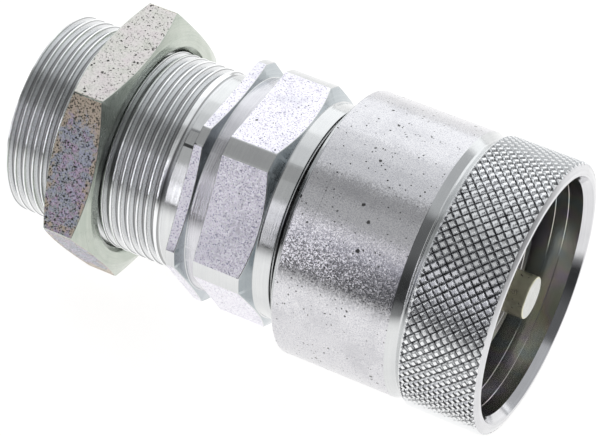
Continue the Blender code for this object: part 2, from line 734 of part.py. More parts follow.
def nose_shank_seal(material):
    back, front, floor = shank_seal_groove()
    centre = floor + SEAL_GAP + SHANK_SEAL_SECTION / 2
    ring = seal_ring("nose_shank_o_ring", (back + front) / 2, centre, SHANK_SEAL_SECTION)
    ring.data.materials.append(material)
    return ring


def nose_front_seal(material):
    _, front, floor = nose_seal_groove()
    centre = floor + SEAL_GAP + NOSE_SEAL_SECTION / 2
    station = front - SEAL_GAP - NOSE_SEAL_SECTION / 2
    ring = seal_ring("nose_seal_o_ring", station, centre, NOSE_SEAL_SECTION)
    ring.data.materials.append(material)
    return ring


def nose_backup_ring(material):
    back, _, floor = nose_seal_groove()
    inner = floor + SEAL_GAP
    outer = NOSE_RADIUS
    ring = turned(
        "nose_backup_ring",
        back + SEAL_GAP,
        [(0, outer), (BACKUP_RING_WIDTH, outer)],
        [(0, inner), (BACKUP_RING_WIDTH, inner)],
        SMALL_STEPS,
    )
    ring.data.materials.append(material)
    return ring


def poppet_seal_place():
    """Station and radius of the middle of the poppet seal's section, clear of the seat cone."""
    station = SPIGOT_FRONT - POPPET_SEAL_SECTION / 2
    cone_sum = NOSE_CONE_FRONT + NOSE_MOUTH_RADIUS
    centre_radius = cone_sum - station - math.sqrt(2) * (POPPET_SEAL_SECTION / 2 + SEAL_GAP)
    return station, centre_radius


def poppet(material):
    _, seal_radius = poppet_seal_place()
    spigot_radius = seal_radius - POPPET_SEAL_SECTION / 2 - SEAL_GAP
    shoulder_radius = POPPET_HEAD_RADIUS - POPPET_HEAD_SHOULDER
    groove_radius = STEM_RADIUS - STOP_GROOVE_DEPTH
    hole_floor = PIN_SHOULDER - GAP - POPPET_CLAMP_THICKNESS - PIN_THREAD_DEPTH - 2 * GAP
    outside = [
        (STEM_BACK, STEM_RADIUS - GAP),
        (STEM_BACK + GAP, STEM_RADIUS),
        (STOP_RING_STATION - GAP, STEM_RADIUS),
        (STOP_RING_STATION - GAP, groove_radius),
        (STOP_RING_STATION + STOP_RING_THICKNESS + GAP, groove_radius),
        (STOP_RING_STATION + STOP_RING_THICKNESS + GAP, STEM_RADIUS),
        (HEAD_BACK - SPRING_PILOT_LENGTH, STEM_RADIUS),
        (HEAD_BACK - SPRING_PILOT_LENGTH, SPRING_PILOT_RADIUS),
        (HEAD_BACK, SPRING_PILOT_RADIUS),
        (HEAD_BACK, shoulder_radius),
        (HEAD_BACK + POPPET_HEAD_SHOULDER, POPPET_HEAD_RADIUS),
        (HEAD_FRONT, POPPET_HEAD_RADIUS),
        (HEAD_FRONT, spigot_radius),
        (SPIGOT_FRONT, spigot_radius),
        (SPIGOT_FRONT, PIN_HOLE_RADIUS),
        (hole_floor, PIN_HOLE_RADIUS),
        (hole_floor, 0),
    ]
    valve = turned("poppet", 0, outside, steps=SMALL_STEPS)
    valve.data.materials.append(material)
    return valve


def poppet_seal(material):
    station, centre_radius = poppet_seal_place()
    ring = seal_ring("poppet_seal", station, centre_radius, POPPET_SEAL_SECTION)
    ring.data.materials.append(material)
    return ring


def seal_clamp_disc(material):
    disc = turned(
        "seal_clamp_disc",
        CLAMP_BACK,
        [
            (0, CLAMP_RADIUS),
            (POPPET_CLAMP_THICKNESS - GAP, CLAMP_RADIUS),
            (POPPET_CLAMP_THICKNESS, CLAMP_RADIUS - GAP),
        ],
        [(0, PIN_HOLE_RADIUS), (POPPET_CLAMP_THICKNESS, PIN_HOLE_RADIUS)],
        SMALL_STEPS,
    )
    disc.data.materials.append(material)
    return disc


def tappet_pin(material):
    thread_length = PIN_THREAD_DEPTH + POPPET_CLAMP_THICKNESS + 2 * GAP
    pin = turned(
        "tappet_pin",
        PIN_SHOULDER,
        [
            (-thread_length, PIN_THREAD_RADIUS),
            (0, PIN_THREAD_RADIUS),
            (0, PIN_RADIUS),
            (PIN_FRONT - PIN_SHOULDER - PIN_EDGE, PIN_RADIUS),
            (PIN_FRONT - PIN_SHOULDER, PIN_RADIUS - PIN_EDGE),
        ],
        steps=SMALL_STEPS,
    )
    pin.data.materials.append(material)
    return pin


def poppet_guide(material):
    inner_rim = GUIDE_RIM_RADIUS - GUIDE_RIM_WIDTH
    guide = turned(
        "poppet_guide",
        GUIDE_STATION,
        [(0, GUIDE_RIM_RADIUS), (GUIDE_RIM_LENGTH, GUIDE_RIM_RADIUS)],
        [(0, inner_rim), (GUIDE_RIM_LENGTH, inner_rim)],
    )
    hub = turned(
        "guide_hub",
        GUIDE_STATION,
        [(0, HUB_RADIUS), (GUIDE_HUB_LENGTH, HUB_RADIUS)],
        [(0, HUB_BORE_RADIUS), (GUIDE_HUB_LENGTH, HUB_BORE_RADIUS)],
        SMALL_STEPS,
        CUTTERS,
    )
    arm_inner = HUB_RADIUS - GUIDE_HUB_WALL / 2
    arm_outer = inner_rim + GUIDE_RIM_WIDTH / 2
    arm_size = (arm_outer - arm_inner, GUIDE_ARM_WIDTH, GUIDE_RIM_LENGTH - GAP)
    arm_offset = ((arm_outer + arm_inner) / 2, 0, GUIDE_RIM_LENGTH / 2)
    for arm in range(GUIDE_ARM_COUNT):
        angle = 2 * math.pi * arm / GUIDE_ARM_COUNT
        spoke = box(f"guide_arm_{arm + 1}", GUIDE_STATION, arm_size, arm_offset, angle)
        add_boolean(guide, spoke, "UNION")
    add_boolean(guide, hub, "UNION")
    guide.data.materials.append(material)
    return guide


def guide_bush(material):
    bush = turned(
        "guide_bush",
        GUIDE_STATION,
        [(0, BUSH_RADIUS), (GUIDE_HUB_LENGTH, BUSH_RADIUS)],
        [(0, BUSH_BORE_RADIUS), (GUIDE_HUB_LENGTH, BUSH_BORE_RADIUS)],
        SMALL_STEPS,
    )
    bush.data.materials.append(material)
    return bush


def guide_snap_ring(material):
    inner = SNAP_RING_RADIUS - SNAP_RING_WIDTH
    ring = turned(
        "guide_snap_ring",
        SNAP_RING_STATION,
        [(0, SNAP_RING_RADIUS), (SNAP_RING_THICKNESS, SNAP_RING_RADIUS)],
        [(0, inner), (SNAP_RING_THICKNESS, inner)],
    )
    cut_split(
        ring,
        "snap_ring_split",
        SNAP_RING_STATION,
        SNAP_RING_THICKNESS,
        SNAP_RING_RADIUS,
        SNAP_RING_SPLIT,
    )
    ring.data.materials.append(material)
    return ring


def stem_stop_ring(material):
    inner = STEM_RADIUS - STOP_GROOVE_DEPTH + GAP
    ring = turned(
        "stem_stop_ring",
        STOP_RING_STATION,
        [(0, STOP_RING_RADIUS), (STOP_RING_THICKNESS, STOP_RING_RADIUS)],
        [(0, inner), (STOP_RING_THICKNESS, inner)],
        SMALL_STEPS,
    )
    cut_split(
        ring,
        "stop_ring_split",
        STOP_RING_STATION,
        STOP_RING_THICKNESS,
        STOP_RING_RADIUS,
        STOP_RING_SPLIT,
    )
    ring.data.materials.append(material)
    return ring


def spring_seat_washer(material):
    reach = SPRING_WIRE_RADIUS + SPRING_SEAT_MARGIN
    outer = SPRING_MEAN_RADIUS + reach
    inner = SPRING_MEAN_RADIUS - SPRING_WIRE_RADIUS
    washer = turned(
        "spring_seat_washer",
        SPRING_SEAT_STATION,
        [(0, outer), (SPRING_SEAT_THICKNESS, outer)],
        [(0, inner), (SPRING_SEAT_THICKNESS, inner)],
        SMALL_STEPS,
    )
    washer.data.materials.append(material)
    return washer


def spring_height(turn, length, closed):
    """Height of the wire's middle after a number of turns, with a flat turn at each end."""
    pitch = (length - 2 * closed) / (SPRING_TURNS - 2)
    if turn <= 1:
        return closed * turn
    if turn >= SPRING_TURNS - 1:
        return length - closed * (SPRING_TURNS - turn)
    return closed + pitch * (turn - 1)


def poppet_spring(material):
    length = SPRING_END - SPRING_START - 2 * SPRING_WIRE_RADIUS
    closed = 2 * SPRING_WIRE_RADIUS + GAP
    steps = SPRING_TURNS * SPRING_POINTS_PER_TURN
    points = []
    for i in range(steps + 1):
        turn = i / SPRING_POINTS_PER_TURN
        angle = 2 * math.pi * turn
        points.append(
            (
                SPRING_MEAN_RADIUS * math.cos(angle),
                SPRING_MEAN_RADIUS * math.sin(angle),
                spring_height(turn, length, closed),
            )
        )
    station = SPRING_START + SPRING_WIRE_RADIUS
    spring = wire_path("poppet_spring", station, points, SPRING_WIRE_RADIUS)
    spring.data.materials.append(material)
    return spring


def settle(things):
    """Each piece as one smooth-shaded mesh, with its modifiers worked in."""
    bpy.context.view_layer.update()
    graph = bpy.context.evaluated_depsgraph_get()
    finished = []
    for thing in things:
        mesh = bpy.data.meshes.new_from_object(thing.evaluated_get(graph))
        shape = bmesh.new()
        shape.from_mesh(mesh)
        bmesh.ops.remove_doubles(shape, verts=shape.verts, dist=WELD_DISTANCE)
        shape.to_mesh(mesh)
        shape.free()
        finished.append((thing, mesh))
    for thing, mesh in finished:
        name = thing.name
        place = thing.location.copy()
        bpy.data.objects.remove(thing, do_unlink=True)
        mesh.name = name
        mesh.shade_smooth()
        mesh.set_sharp_from_angle(angle=math.radians(30))
        add_object(name, mesh, place.z)


def build():
    zinc = new_material("bright_zinc", (0.66, 0.67, 0.69), 0.32, 1.0)
    chromate = new_material("olive_chromate", (0.55, 0.53, 0.44), 0.4, 1.0)
    steel = new_material("turned_steel", (0.5, 0.49, 0.47), 0.28, 1.0)
    spring_steel = new_material("spring_steel", (0.32, 0.32, 0.34), 0.35, 1.0)
    bronze = new_material("bearing_bronze", (0.62, 0.42, 0.2), 0.35, 1.0)
    rubber = new_material("black_rubber", (0.02, 0.02, 0.02), 0.6, 0.0)
    plastic = new_material("white_ptfe", (0.85, 0.85, 0.82), 0.45, 0.0)
    settle(
        [
            coupling_body(zinc),
            bulkhead_locknut(chromate),
            union_sleeve(zinc),
            sleeve_wiper(rubber),
            sleeve_thrust_washer(plastic),
            sleeve_retaining_ring(spring_steel),
            valve_nose(steel),
            nose_shank_seal(rubber),
            nose_front_seal(rubber),
            nose_backup_ring(plastic),
            poppet(steel),
            poppet_seal(rubber),
            seal_clamp_disc(steel),
            tappet_pin(steel),
            poppet_guide(steel),
            guide_bush(bronze),
            guide_snap_ring(spring_steel),
            stem_stop_ring(spring_steel),
            spring_seat_washer(steel),
            poppet_spring(spring_steel),
        ]
    )


build()
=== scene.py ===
"""Looks of the bulkhead screw coupling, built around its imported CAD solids.

Profiles are in millimetres: a station is measured along the axis from the tube
end's face, and a radius from the axis. An angle is measured round the axis from
the top towards the camera's side (-Y), so a right-hand thread moves towards
higher stations as the angle grows.
"""

import math

import bmesh
import bpy
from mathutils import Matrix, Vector


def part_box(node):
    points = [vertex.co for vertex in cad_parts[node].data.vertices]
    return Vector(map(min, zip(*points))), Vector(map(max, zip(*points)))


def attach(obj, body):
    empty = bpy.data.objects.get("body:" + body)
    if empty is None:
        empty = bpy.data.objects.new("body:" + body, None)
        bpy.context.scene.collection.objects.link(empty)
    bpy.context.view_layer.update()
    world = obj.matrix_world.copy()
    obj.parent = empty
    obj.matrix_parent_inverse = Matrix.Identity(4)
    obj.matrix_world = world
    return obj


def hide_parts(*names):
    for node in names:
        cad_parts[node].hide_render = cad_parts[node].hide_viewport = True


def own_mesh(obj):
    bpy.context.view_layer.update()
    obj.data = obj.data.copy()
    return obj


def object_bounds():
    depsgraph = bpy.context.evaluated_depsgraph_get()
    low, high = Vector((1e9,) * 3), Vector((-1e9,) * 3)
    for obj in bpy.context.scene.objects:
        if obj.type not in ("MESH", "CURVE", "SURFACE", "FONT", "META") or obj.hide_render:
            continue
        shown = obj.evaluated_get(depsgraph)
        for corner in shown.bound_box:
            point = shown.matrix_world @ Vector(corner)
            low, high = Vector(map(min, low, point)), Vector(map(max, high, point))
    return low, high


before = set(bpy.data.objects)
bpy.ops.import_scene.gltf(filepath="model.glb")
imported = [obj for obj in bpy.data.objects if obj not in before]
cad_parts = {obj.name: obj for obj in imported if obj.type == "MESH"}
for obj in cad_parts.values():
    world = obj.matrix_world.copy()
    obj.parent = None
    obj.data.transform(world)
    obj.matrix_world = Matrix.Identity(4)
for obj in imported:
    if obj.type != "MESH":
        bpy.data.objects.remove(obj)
CAD_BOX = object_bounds()

MM = 0.001
TURN = 2 * math.pi
SIXTH = TURN / 6

# Places read from the frame
TUBE_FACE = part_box("coupling_body")[0].x
PIN_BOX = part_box("tappet_pin")
AXIS_HEIGHT = (PIN_BOX[0].z + PIN_BOX[1].z) / 2


def back_of(node):
    """Station of a CAD node's end towards the tube."""
    return (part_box(node)[0].x - TUBE_FACE) / MM


def front_of(node):
    """Station of a CAD node's end towards the mouth."""
    return (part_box(node)[1].x - TUBE_FACE) / MM


def radius_of(node):
    """Outside radius of a CAD node."""
    low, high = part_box(node)
    return (high.y - low.y) / 2 / MM


BODY_FRONT = front_of("coupling_body")
NUT_BACK = back_of("bulkhead_locknut")
NUT_FRONT = front_of("bulkhead_locknut")
SLEEVE_BACK = back_of("union_sleeve")
SLEEVE_FRONT = front_of("union_sleeve")
NOSE_BACK = back_of("valve_nose")
NOSE_FRONT = front_of("valve_nose")
PIN_FRONT = front_of("tappet_pin")
PIN_RADIUS = radius_of("tappet_pin")

# Resolution
BODY_COLUMNS = 192
SLEEVE_COLUMNS = 164
SMALL_COLUMNS = 96
FILLET_STEPS = 3
RISE_STEPS = 6
WELD_DISTANCE = 1e-7
SHADING_WEIGHT = 90
SHARP_ANGLE = 32
SLEEVE_SHARP_ANGLE = 25

# Bulkhead thread
THREAD_RADIUS = 20.9
THREAD_PITCH = 2.0
THREAD_DEPTH = 1.12
THREAD_ROOT_HALF = 0.17
THREAD_CREST_HALF = 0.125
THREAD_CHAMFER = 0.3
THREAD_END = 35.0
THREAD_OFFSET = 1.325
RUNOUT_STATION = 35.2
RUNOUT_TURNS = 0.1
SHANK_RADIUS = 20.4
SHANK_BEVEL = 1.2
PILOT_START = 36.3
PILOT_RADIUS = 21.0
THREAD_STOP = PILOT_START - 0.1

# Hexagons of the body
SEAT_FACE = 40.1
BODY_FLATS = 46.0
BODY_CORNER_RADIUS = 25.46
BODY_HEX_CORNER = math.radians(26.4)
BODY_HEXAGON = (BODY_FLATS, BODY_CORNER_RADIUS, BODY_HEX_CORNER)
SEAT_HEX_END = 42.7
SEAT_HEX_CHAMFER = 0.7
STRAP_GROOVE_RADIUS = 22.5
WRENCH_HEX_START = 46.2
WRENCH_HEX_END = 57.9
WRENCH_HEX_CHAMFER = 1.7
COLLAR_RADIUS = 22.6
COLLAR_END = 61.3
COLLAR_STEP = (61.5, 21.9)
EDGE_BLEND = 0.05

# Inside of the body and its journal
JOURNAL_RADIUS = 19.0
WIRE_GROOVE = (68.8, 72.2)
WIRE_GROOVE_RADIUS = 17.6
CONE_MOUTH_RADIUS = 16.6
CONE_END = 7.3
TUBE_SOCKET_RADIUS = 15.05
TUBE_SOCKET_END = 13.5
FLOW_RADIUS = 12.5
CHAMBER_START = 44.0
CHAMBER_RADIUS = 15.5
SNAP_GROOVE = (47.3, 49.1)
SNAP_GROOVE_RADIUS = 16.8
NOSE_SOCKET_START = 72.7
NOSE_SOCKET_RADIUS = 16.8

# Locknut
NUT_FLATS = 50.0
NUT_CORNER_RADIUS = 28.78
NUT_HEX_CORNER = math.radians(30)
NUT_HEXAGON = (NUT_FLATS, NUT_CORNER_RADIUS, NUT_HEX_CORNER)
NUT_CHAMFER = 2.0
NUT_FACE_RADIUS = 24.4
NUT_BORE_RADIUS = 21.2
NUT_BORE_CHAMFER = 0.9

# Union sleeve, in stations from its own back face
SLEEVE_RADIUS = 27.58
BACK_EDGE_DEPTH = 3.7
BACK_STEP = (0.5, 2.0)
BACK_BEVEL_LENGTH = 1.8
TOOL_LINE = 6.0
TOOL_LINE_WIDTH = 0.16
TOOL_LINE_DEPTH = 0.02
GROOVE_START = 25.65
GROOVE_WALL = 1.7
GROOVE_DEPTH = 1.1
GROOVE_END = 28.8
KNURL_RADIUS = 27.98
KNURL_RISE = 0.4
KNURL_END = 44.4
MOUTH_FACE_RADIUS = 26.35
MOUTH_RADIUS = 25.45
MOUTH_BEVEL_LENGTH = 1.8
RIM_LENGTH = 0.3
RIM_LENGTH_WITH_GAP = 0.34
GUIDE_BORE_RADIUS = 24.4
GUIDE_BORE_START = 32.6
BORE_LINES = (40.2, 37.5)
BORE_LINE_WIDTH = 0.12
BORE_LINE_DEPTH = 0.06
UNION_BORE_RADIUS = 22.4
UNION_ROOT_RADIUS = 23.6
UNION_THREAD_START = 13.6
UNION_PITCH = 3.0
UNION_GROOVE_SHARE = 0.72
UNION_FLANK_SHARE = 0.45
UNION_LEAD = 1.6
UNION_LEAD_SLOPE = 1.25
UNION_RELIEF = 1.2
SLEEVE_BORE_RADIUS = 19.3
FLANGE_END = 4.6
WIPER_SEAT_RADIUS = 21.6
WIPER_SEAT_DEPTH = 1.7

# Valve nose
NOSE_SHANK_RADIUS = 16.5
SHANK_GROOVE = (77.4, 79.2)
SHANK_GROOVE_RADIUS = 15.0
NOSE_COLLAR = (80.3, 83.3)
NOSE_COLLAR_RADIUS = 18.6
NOSE_RADIUS = 15.8
SEAL_GROOVE = (89.8, 93.5)
SEAL_GROOVE_RADIUS = 14.1
NOSE_RING_RADIUS = 12.65
NOSE_RING_DEPTH = 0.25
NOSE_MOUTH_RADIUS = 9.8
VALVE_SEAT = (94.6, 97.4)
NOSE_THROAT_RADIUS = 12.6
CHAMBER_NECK = (88.0, 89.4)
NOSE_CHAMBER_RADIUS = 14.0

# Tappet pin and valve spring
PIN_TANG_RADIUS = 2.6
PIN_SHOULDER = 99.5
SPRING_MEAN_RADIUS = 8.0
WIRE_RADIUS = 0.9
SPRING_TURNS = 7
SPRING_GAP = 0.3
SPRING_STEPS_PER_TURN = 48
WIRE_SIDES = 16

# Knurl: two families of crossing grooves
KNURL_CELLS = 82
KNURL_CELL_LENGTH = 2.094
KNURL_STEPS = 8
KNURL_DEPTH = 0.6
KNURL_TOP_SHARE = 0.5
KNURL_FADE = 0.6
KNURL_GAP = 0.05


def place(along, radius, angle):
    """World position of a point on the coupling."""
    return Vector(
        (
            TUBE_FACE + along * MM,
            -radius * MM * math.sin(angle),
            AXIS_HEIGHT + radius * MM * math.cos(angle),
        )
    )


def ease(share):
    """Smooth step from 0 to 1."""
    share = min(max(share, 0.0), 1.0)
    return share * share * (3 - 2 * share)


def soft_minimum(a, b, blend):
    """The smaller of two radii, with their crossing rounded off."""
    share = min(max(0.5 + 0.5 * (b - a) / blend, 0.0), 1.0)
    return b + (a - b) * share - blend * share * (1 - share)


def rounded(corners):
    """A polyline of (station, radius, fillet) corners, each filleted corner as a short arc."""
    points = []
    for i, (along, radius, fillet) in enumerate(corners):
        here = Vector((along, radius))
        if not fillet or i in (0, len(corners) - 1):
            points.append((along, radius))
            continue
        back = Vector(corners[i - 1][:2]) - here
        ahead = Vector(corners[i + 1][:2]) - here
        reach = min(fillet, back.length / 2.2, ahead.length / 2.2)
        start = here + back.normalized() * reach
        end = here + ahead.normalized() * reach
        for step in range(FILLET_STEPS + 1):
            t = step / FILLET_STEPS
            point = start * (1 - t) ** 2 + here * 2 * t * (1 - t) + end * t * t
            points.append((point.x, point.y))
    return points


def groove(ends, outside, floor, edge_fillet, floor_fillet):
    """Corners of a square groove from one station to another."""
    start, end = ends
    return [
        (start, outside, edge_fillet),
        (start, floor, floor_fillet),
        (end, floor, floor_fillet),
        (end, outside, edge_fillet),
    ]


def even_angles(count):
    return [TURN * i / count for i in range(count)]


def from_flat_middle(angle, first_corner):
    """Angle from the middle of the hexagon's flat that an angle falls on."""
    return (angle - first_corner) % SIXTH - SIXTH / 2


def hexagon_radius(angle, flats, corner_radius, first_corner):
    """Radius of a hexagon with turned corners at an angle round the axis."""
    flat_radius = flats / 2 / math.cos(from_flat_middle(angle, first_corner))
    return soft_minimum(flat_radius, corner_radius, EDGE_BLEND)


def angles_with_hexagon(count, flats, corner_radius, first_corner):
    """Even angles, and a few close ones at each edge of a hexagon's flats."""
    half_flat = math.acos(flats / 2 / corner_radius)
    near = [math.radians(step) for step in (-0.8, -0.4, -0.15, 0.0, 0.15, 0.4, 0.8)]
    found = set(even_angles(count))
    for k in range(6):
        middle = first_corner + (k + 0.5) * SIXTH
        for edge in (middle - half_flat, middle + half_flat):
            found.update((edge + step) % TURN for step in near)
    kept = []
    for angle in sorted(found):
        if not kept or angle - kept[-1] > math.radians(0.02):
            kept.append(angle)
    return kept


def add_object(name, data):
    thing = bpy.data.objects.new(name, data)
    bpy.context.scene.collection.objects.link(thing)
    return thing


class Skin:
    """The surface of one piece, collected strip by strip and then welded shut."""

    def __init__(self):
        self.points = []
        self.faces = []
        self.slots = []

    def strip(self, angles, columns, slot=0, shift=0, split=None):
        """Quads between neighbouring columns. The last one joins the first, shift points on."""
        first = len(self.points)
        count = len(columns[0])
        for angle, column in zip(angles, columns):
            self.points += [place(along, radius, angle) for along, radius in column]
        for i in range(len(columns)):
            j = (i + 1) % len(columns)
            step = 0 if j else shift
            for k in range(count - 1 - step):
                a = first + i * count + k
                b = first + j * count + k + step
                which = slot(i, k) if callable(slot) else slot
                side = split(i, k) if split else 0
                if side == 0:
                    self.add((a, a + 1, b + 1, b), which)
                elif side > 0:
                    self.add((a, a + 1, b + 1), which)
                    self.add((a, b + 1, b), which)
                else:
                    self.add((a, a + 1, b), which)
                    self.add((a + 1, b + 1, b), which)
        return first, count

    def add(self, face, slot):
        self.faces.append(face)
        self.slots.append(slot)

    def finish(self, name, body, materials, replaced, record_slot, sharp=SHARP_ANGLE):
        mesh = bpy.data.meshes.new(name)
        mesh.from_pydata(self.points, [], self.faces)
        for material in materials:
            mesh.materials.append(material)
        mesh.polygons.foreach_set("material_index", self.slots)
        shape = bmesh.new()
        shape.from_mesh(mesh)
        bmesh.ops.remove_doubles(shape, verts=shape.verts, dist=WELD_DISTANCE)
        bmesh.ops.dissolve_degenerate(shape, edges=shape.edges, dist=WELD_DISTANCE)
        bmesh.ops.recalc_face_normals(shape, faces=shape.faces)
        shape.to_mesh(mesh)
        shape.free()
        mesh.shade_smooth()
        mesh.set_sharp_from_angle(angle=math.radians(sharp))
        piece = add_object(name, mesh)
        even = piece.modifiers.new("even_shading", "WEIGHTED_NORMAL")
        even.keep_sharp = True
        even.weight = SHADING_WEIGHT
        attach(piece, body)
        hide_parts(*replaced)
        return piece


def helical_columns(angles, start, end, pitch, offset, phases, surface):
    """Columns whose points follow a right-hand helix, cut off at two planes."""
    first_turn = math.floor((start - offset) / pitch) - 1
    turns = math.ceil((end - offset) / pitch) - first_turn
    columns = []
    for angle in angles:
        column = []
        for turn in range(turns):
            for phase in phases:
                along = offset + (first_turn + turn + phase + angle / TURN) * pitch
                along = min(max(along, start), end)
                column.append((along, surface(along, angle)))
        columns.append(column)
    return columns


def turned_skin(corners, columns):
    """A lathe-turned piece from its closed outline of (station, radius, fillet) corners."""
    skin = Skin()
    skin.strip(even_angles(columns), [rounded(corners)] * columns)
    return skin


# Procedural finishes

# Pits: their reach in shares of a cell, and how steep their edges are
PIT_REACH = (0.14, 0.42)
PIT_STEEPNESS = 12.0

# Locknut: where its side flats start, measured sideways, and its tints along the clouds
SIDE_START = NUT_CORNER_RADIUS / 2
# The side tints are darker than the top tints, partly as painted shade on the side flats
SIDE_TINTS = (
    (0.30, (0.52, 0.48, 0.31)),
    (0.38, (0.33, 0.38, 0.36)),
    (0.44, (0.38, 0.40, 0.55)),
    (0.50, (0.31, 0.36, 0.33)),
    (0.55, (0.50, 0.33, 0.50)),
    (0.60, (0.39, 0.41, 0.54)),
    (0.67, (0.40, 0.43, 0.38)),
    (0.75, (0.58, 0.38, 0.48)),
)
TOP_TINTS = ((0.35, (0.66, 0.66, 0.61)), (0.5, (0.74, 0.71, 0.69)), (0.65, (0.70, 0.64, 0.65)))


def add_node(tree, kind, inputs=None, **settings):
    node = tree.nodes.new(kind)
    for name, value in settings.items():
        setattr(node, name, value)
    for name, value in (inputs or {}).items():
        socket = node.inputs[name]
        if isinstance(value, bpy.types.NodeSocket):
            tree.links.new(value, socket)
        else:
            socket.default_value = value
    return node


def calculate(tree, operation, a, b=0.0, clamp=False):
    node = add_node(tree, "ShaderNodeMath", {0: a, 1: b}, operation=operation, use_clamp=clamp)
    return node.outputs[0]


def vector_math(tree, operation, inputs):
    node = add_node(tree, "ShaderNodeVectorMath", inputs, operation=operation)
    return node.outputs["Value" if operation == "LENGTH" else "Vector"]


def millimetres(tree):
    """Object coordinates in millimetres."""
    here = add_node(tree, "ShaderNodeTexCoord").outputs["Object"]
    return vector_math(tree, "SCALE", {0: here, "Scale": 1 / MM})


def from_axis(tree):
    """Place along the coupling's axis and offset from it, in millimetres."""
    split = add_node(tree, "ShaderNodeSeparateXYZ", {0: millimetres(tree)})
    height = calculate(tree, "SUBTRACT", split.outputs["Z"], AXIS_HEIGHT / MM)
    offset = add_node(tree, "ShaderNodeCombineXYZ", {"Y": split.outputs["Y"], "Z": height})
    return split.outputs["X"], offset.outputs[0]


def axis_radius(tree):
    """Distance from the coupling's axis in millimetres."""
    return vector_math(tree, "LENGTH", {0: from_axis(tree)[1]})


def turning_noise(tree, fineness, around, detail=2.0):
    """Noise that runs in rings round the axis, fineness per millimetre along the profile."""
    x, offset = from_axis(tree)
    unit = vector_math(tree, "NORMALIZE", {0: offset})
    turned = vector_math(tree, "SCALE", {0: unit, "Scale": around})
    along = add_node(tree, "ShaderNodeCombineXYZ", {"X": calculate(tree, "MULTIPLY", x, fineness)})
    vector = vector_math(tree, "ADD", {0: turned, 1: along.outputs[0]})
    depth = calculate(tree, "MULTIPLY", vector_math(tree, "LENGTH", {0: offset}), fineness)
    noise = add_node(
        tree,
        "ShaderNodeTexNoise",
        {"Vector": vector, "W": depth, "Scale": 1.0, "Detail": detail},
        noise_dimensions="4D",
    )
    return noise.outputs[0]


def cloud_noise(tree, size, detail=2.0, roughness=0.5, offset=0.0):
    """Noise with blots of about the given size in millimetres."""
    moved = vector_math(tree, "ADD", {0: millimetres(tree), 1: (offset,) * 3})
    inputs = {"Vector": moved, "Scale": 1 / size, "Detail": detail, "Roughness": roughness}
    return add_node(tree, "ShaderNodeTexNoise", inputs).outputs[0]


def pits(tree, size, share, wobble=0.5):
    """1 in small irregular pits that fill the given share of cells of a size, 0 elsewhere."""
    shift = add_node(
        tree, "ShaderNodeTexNoise", {"Vector": millimetres(tree), "Scale": 2 / size}
    )
    bend = {0: shift.outputs["Color"], 1: (size * wobble,) * 3, 2: millimetres(tree)}
    bent = vector_math(tree, "MULTIPLY_ADD", bend)
    cells = add_node(tree, "ShaderNodeTexVoronoi", {"Vector": bent, "Scale": 1 / size})
    chosen = add_node(tree, "ShaderNodeSeparateColor", {0: cells.outputs["Color"]})
    wanted = calculate(tree, "LESS_THAN", chosen.outputs[0], share)
    reach = calculate(tree, "MULTIPLY", chosen.outputs[1], PIT_REACH[1] - PIT_REACH[0])
    reach = calculate(tree, "ADD", reach, PIT_REACH[0])
    inside = calculate(tree, "SUBTRACT", reach, cells.outputs["Distance"])
    depth = calculate(tree, "MULTIPLY", inside, PIT_STEEPNESS, clamp=True)
    return calculate(tree, "MULTIPLY", depth, wanted)


def ramp(tree, value, stops):
    """A colour ramp through (position, colour) stops."""
    node = add_node(tree, "ShaderNodeValToRGB", {0: value})
    elements = node.color_ramp.elements
    while len(elements) < len(stops):
        elements.new(0.5)
    for element, (position, colour) in zip(elements, stops):
        element.position = position
        element.color = (*colour, 1)
    return node.outputs[0]


def spread(tree, value, low, high, new_low, new_high):
    node = add_node(
        tree,
        "ShaderNodeMapRange",
        {0: value, 1: low, 2: high, 3: new_low, 4: new_high},
    )
    return node.outputs[0]


def blend(tree, share, a, b):
    """Colour a where share is 0 and b where it is 1."""
    node = add_node(tree, "ShaderNodeMix", data_type="RGBA")
    for index, value in ((0, share), (6, a), (7, b)):
        if isinstance(value, bpy.types.NodeSocket):
            tree.links.new(value, node.inputs[index])
        elif index == 0:
            node.inputs[index].default_value = value
        else:
            node.inputs[index].default_value = (*value, 1)
    return node.outputs[2]


def bump(tree, height, depth, under=None):
    """A bump of the given depth in millimetres, on top of another one."""
    inputs = {"Height": height, "Distance": depth * MM, "Strength": 1.0}
    if under is not None:
        inputs["Normal"] = under
    return add_node(tree, "ShaderNodeBump", inputs).outputs[0]


def new_finish(name, metallic=1.0, roughness=0.3, colour=(0.6, 0.6, 0.6)):
    material = bpy.data.materials.new(name)
    material.use_nodes = True
    shader = material.node_tree.nodes["Principled BSDF"]
    shader.inputs["Metallic"].default_value = metallic
    shader.inputs["Roughness"].default_value = roughness
    shader.inputs["Base Color"].default_value = (*colour, 1)
    return material, material.node_tree, shader


def feed(tree, shader, colour, normal, roughness=None):
    """Links a finish's colour, normal and, where it varies, roughness to its shader."""
    tree.links.new(colour, shader.inputs["Base Color"])
    tree.links.new(normal, shader.inputs["Normal"])
    if roughness is not None:
        tree.links.new(roughness, shader.inputs["Roughness"])


def turned_metal(name, dark, light, roughness, ring_depth, fineness=3.0):
    """Machined metal: fine rings, small changes of gloss and faint clouds of colour."""
    material, tree, shader = new_finish(name)
    rings = turning_noise(tree, fineness, 1.5, 3.0)
    clouds = cloud_noise(tree, 6.0, 4.0)
    mixed = calculate(tree, "MULTIPLY", calculate(tree, "ADD", rings, clouds), 0.5)
    colour = ramp(tree, mixed, [(0.3, dark), (0.7, light)])
    gloss = spread(tree, cloud_noise(tree, 1.2, 3.0), 0.3, 0.7, roughness * 0.8, roughness * 1.25)
    feed(tree, shader, colour, bump(tree, rings, ring_depth), gloss)
    return material


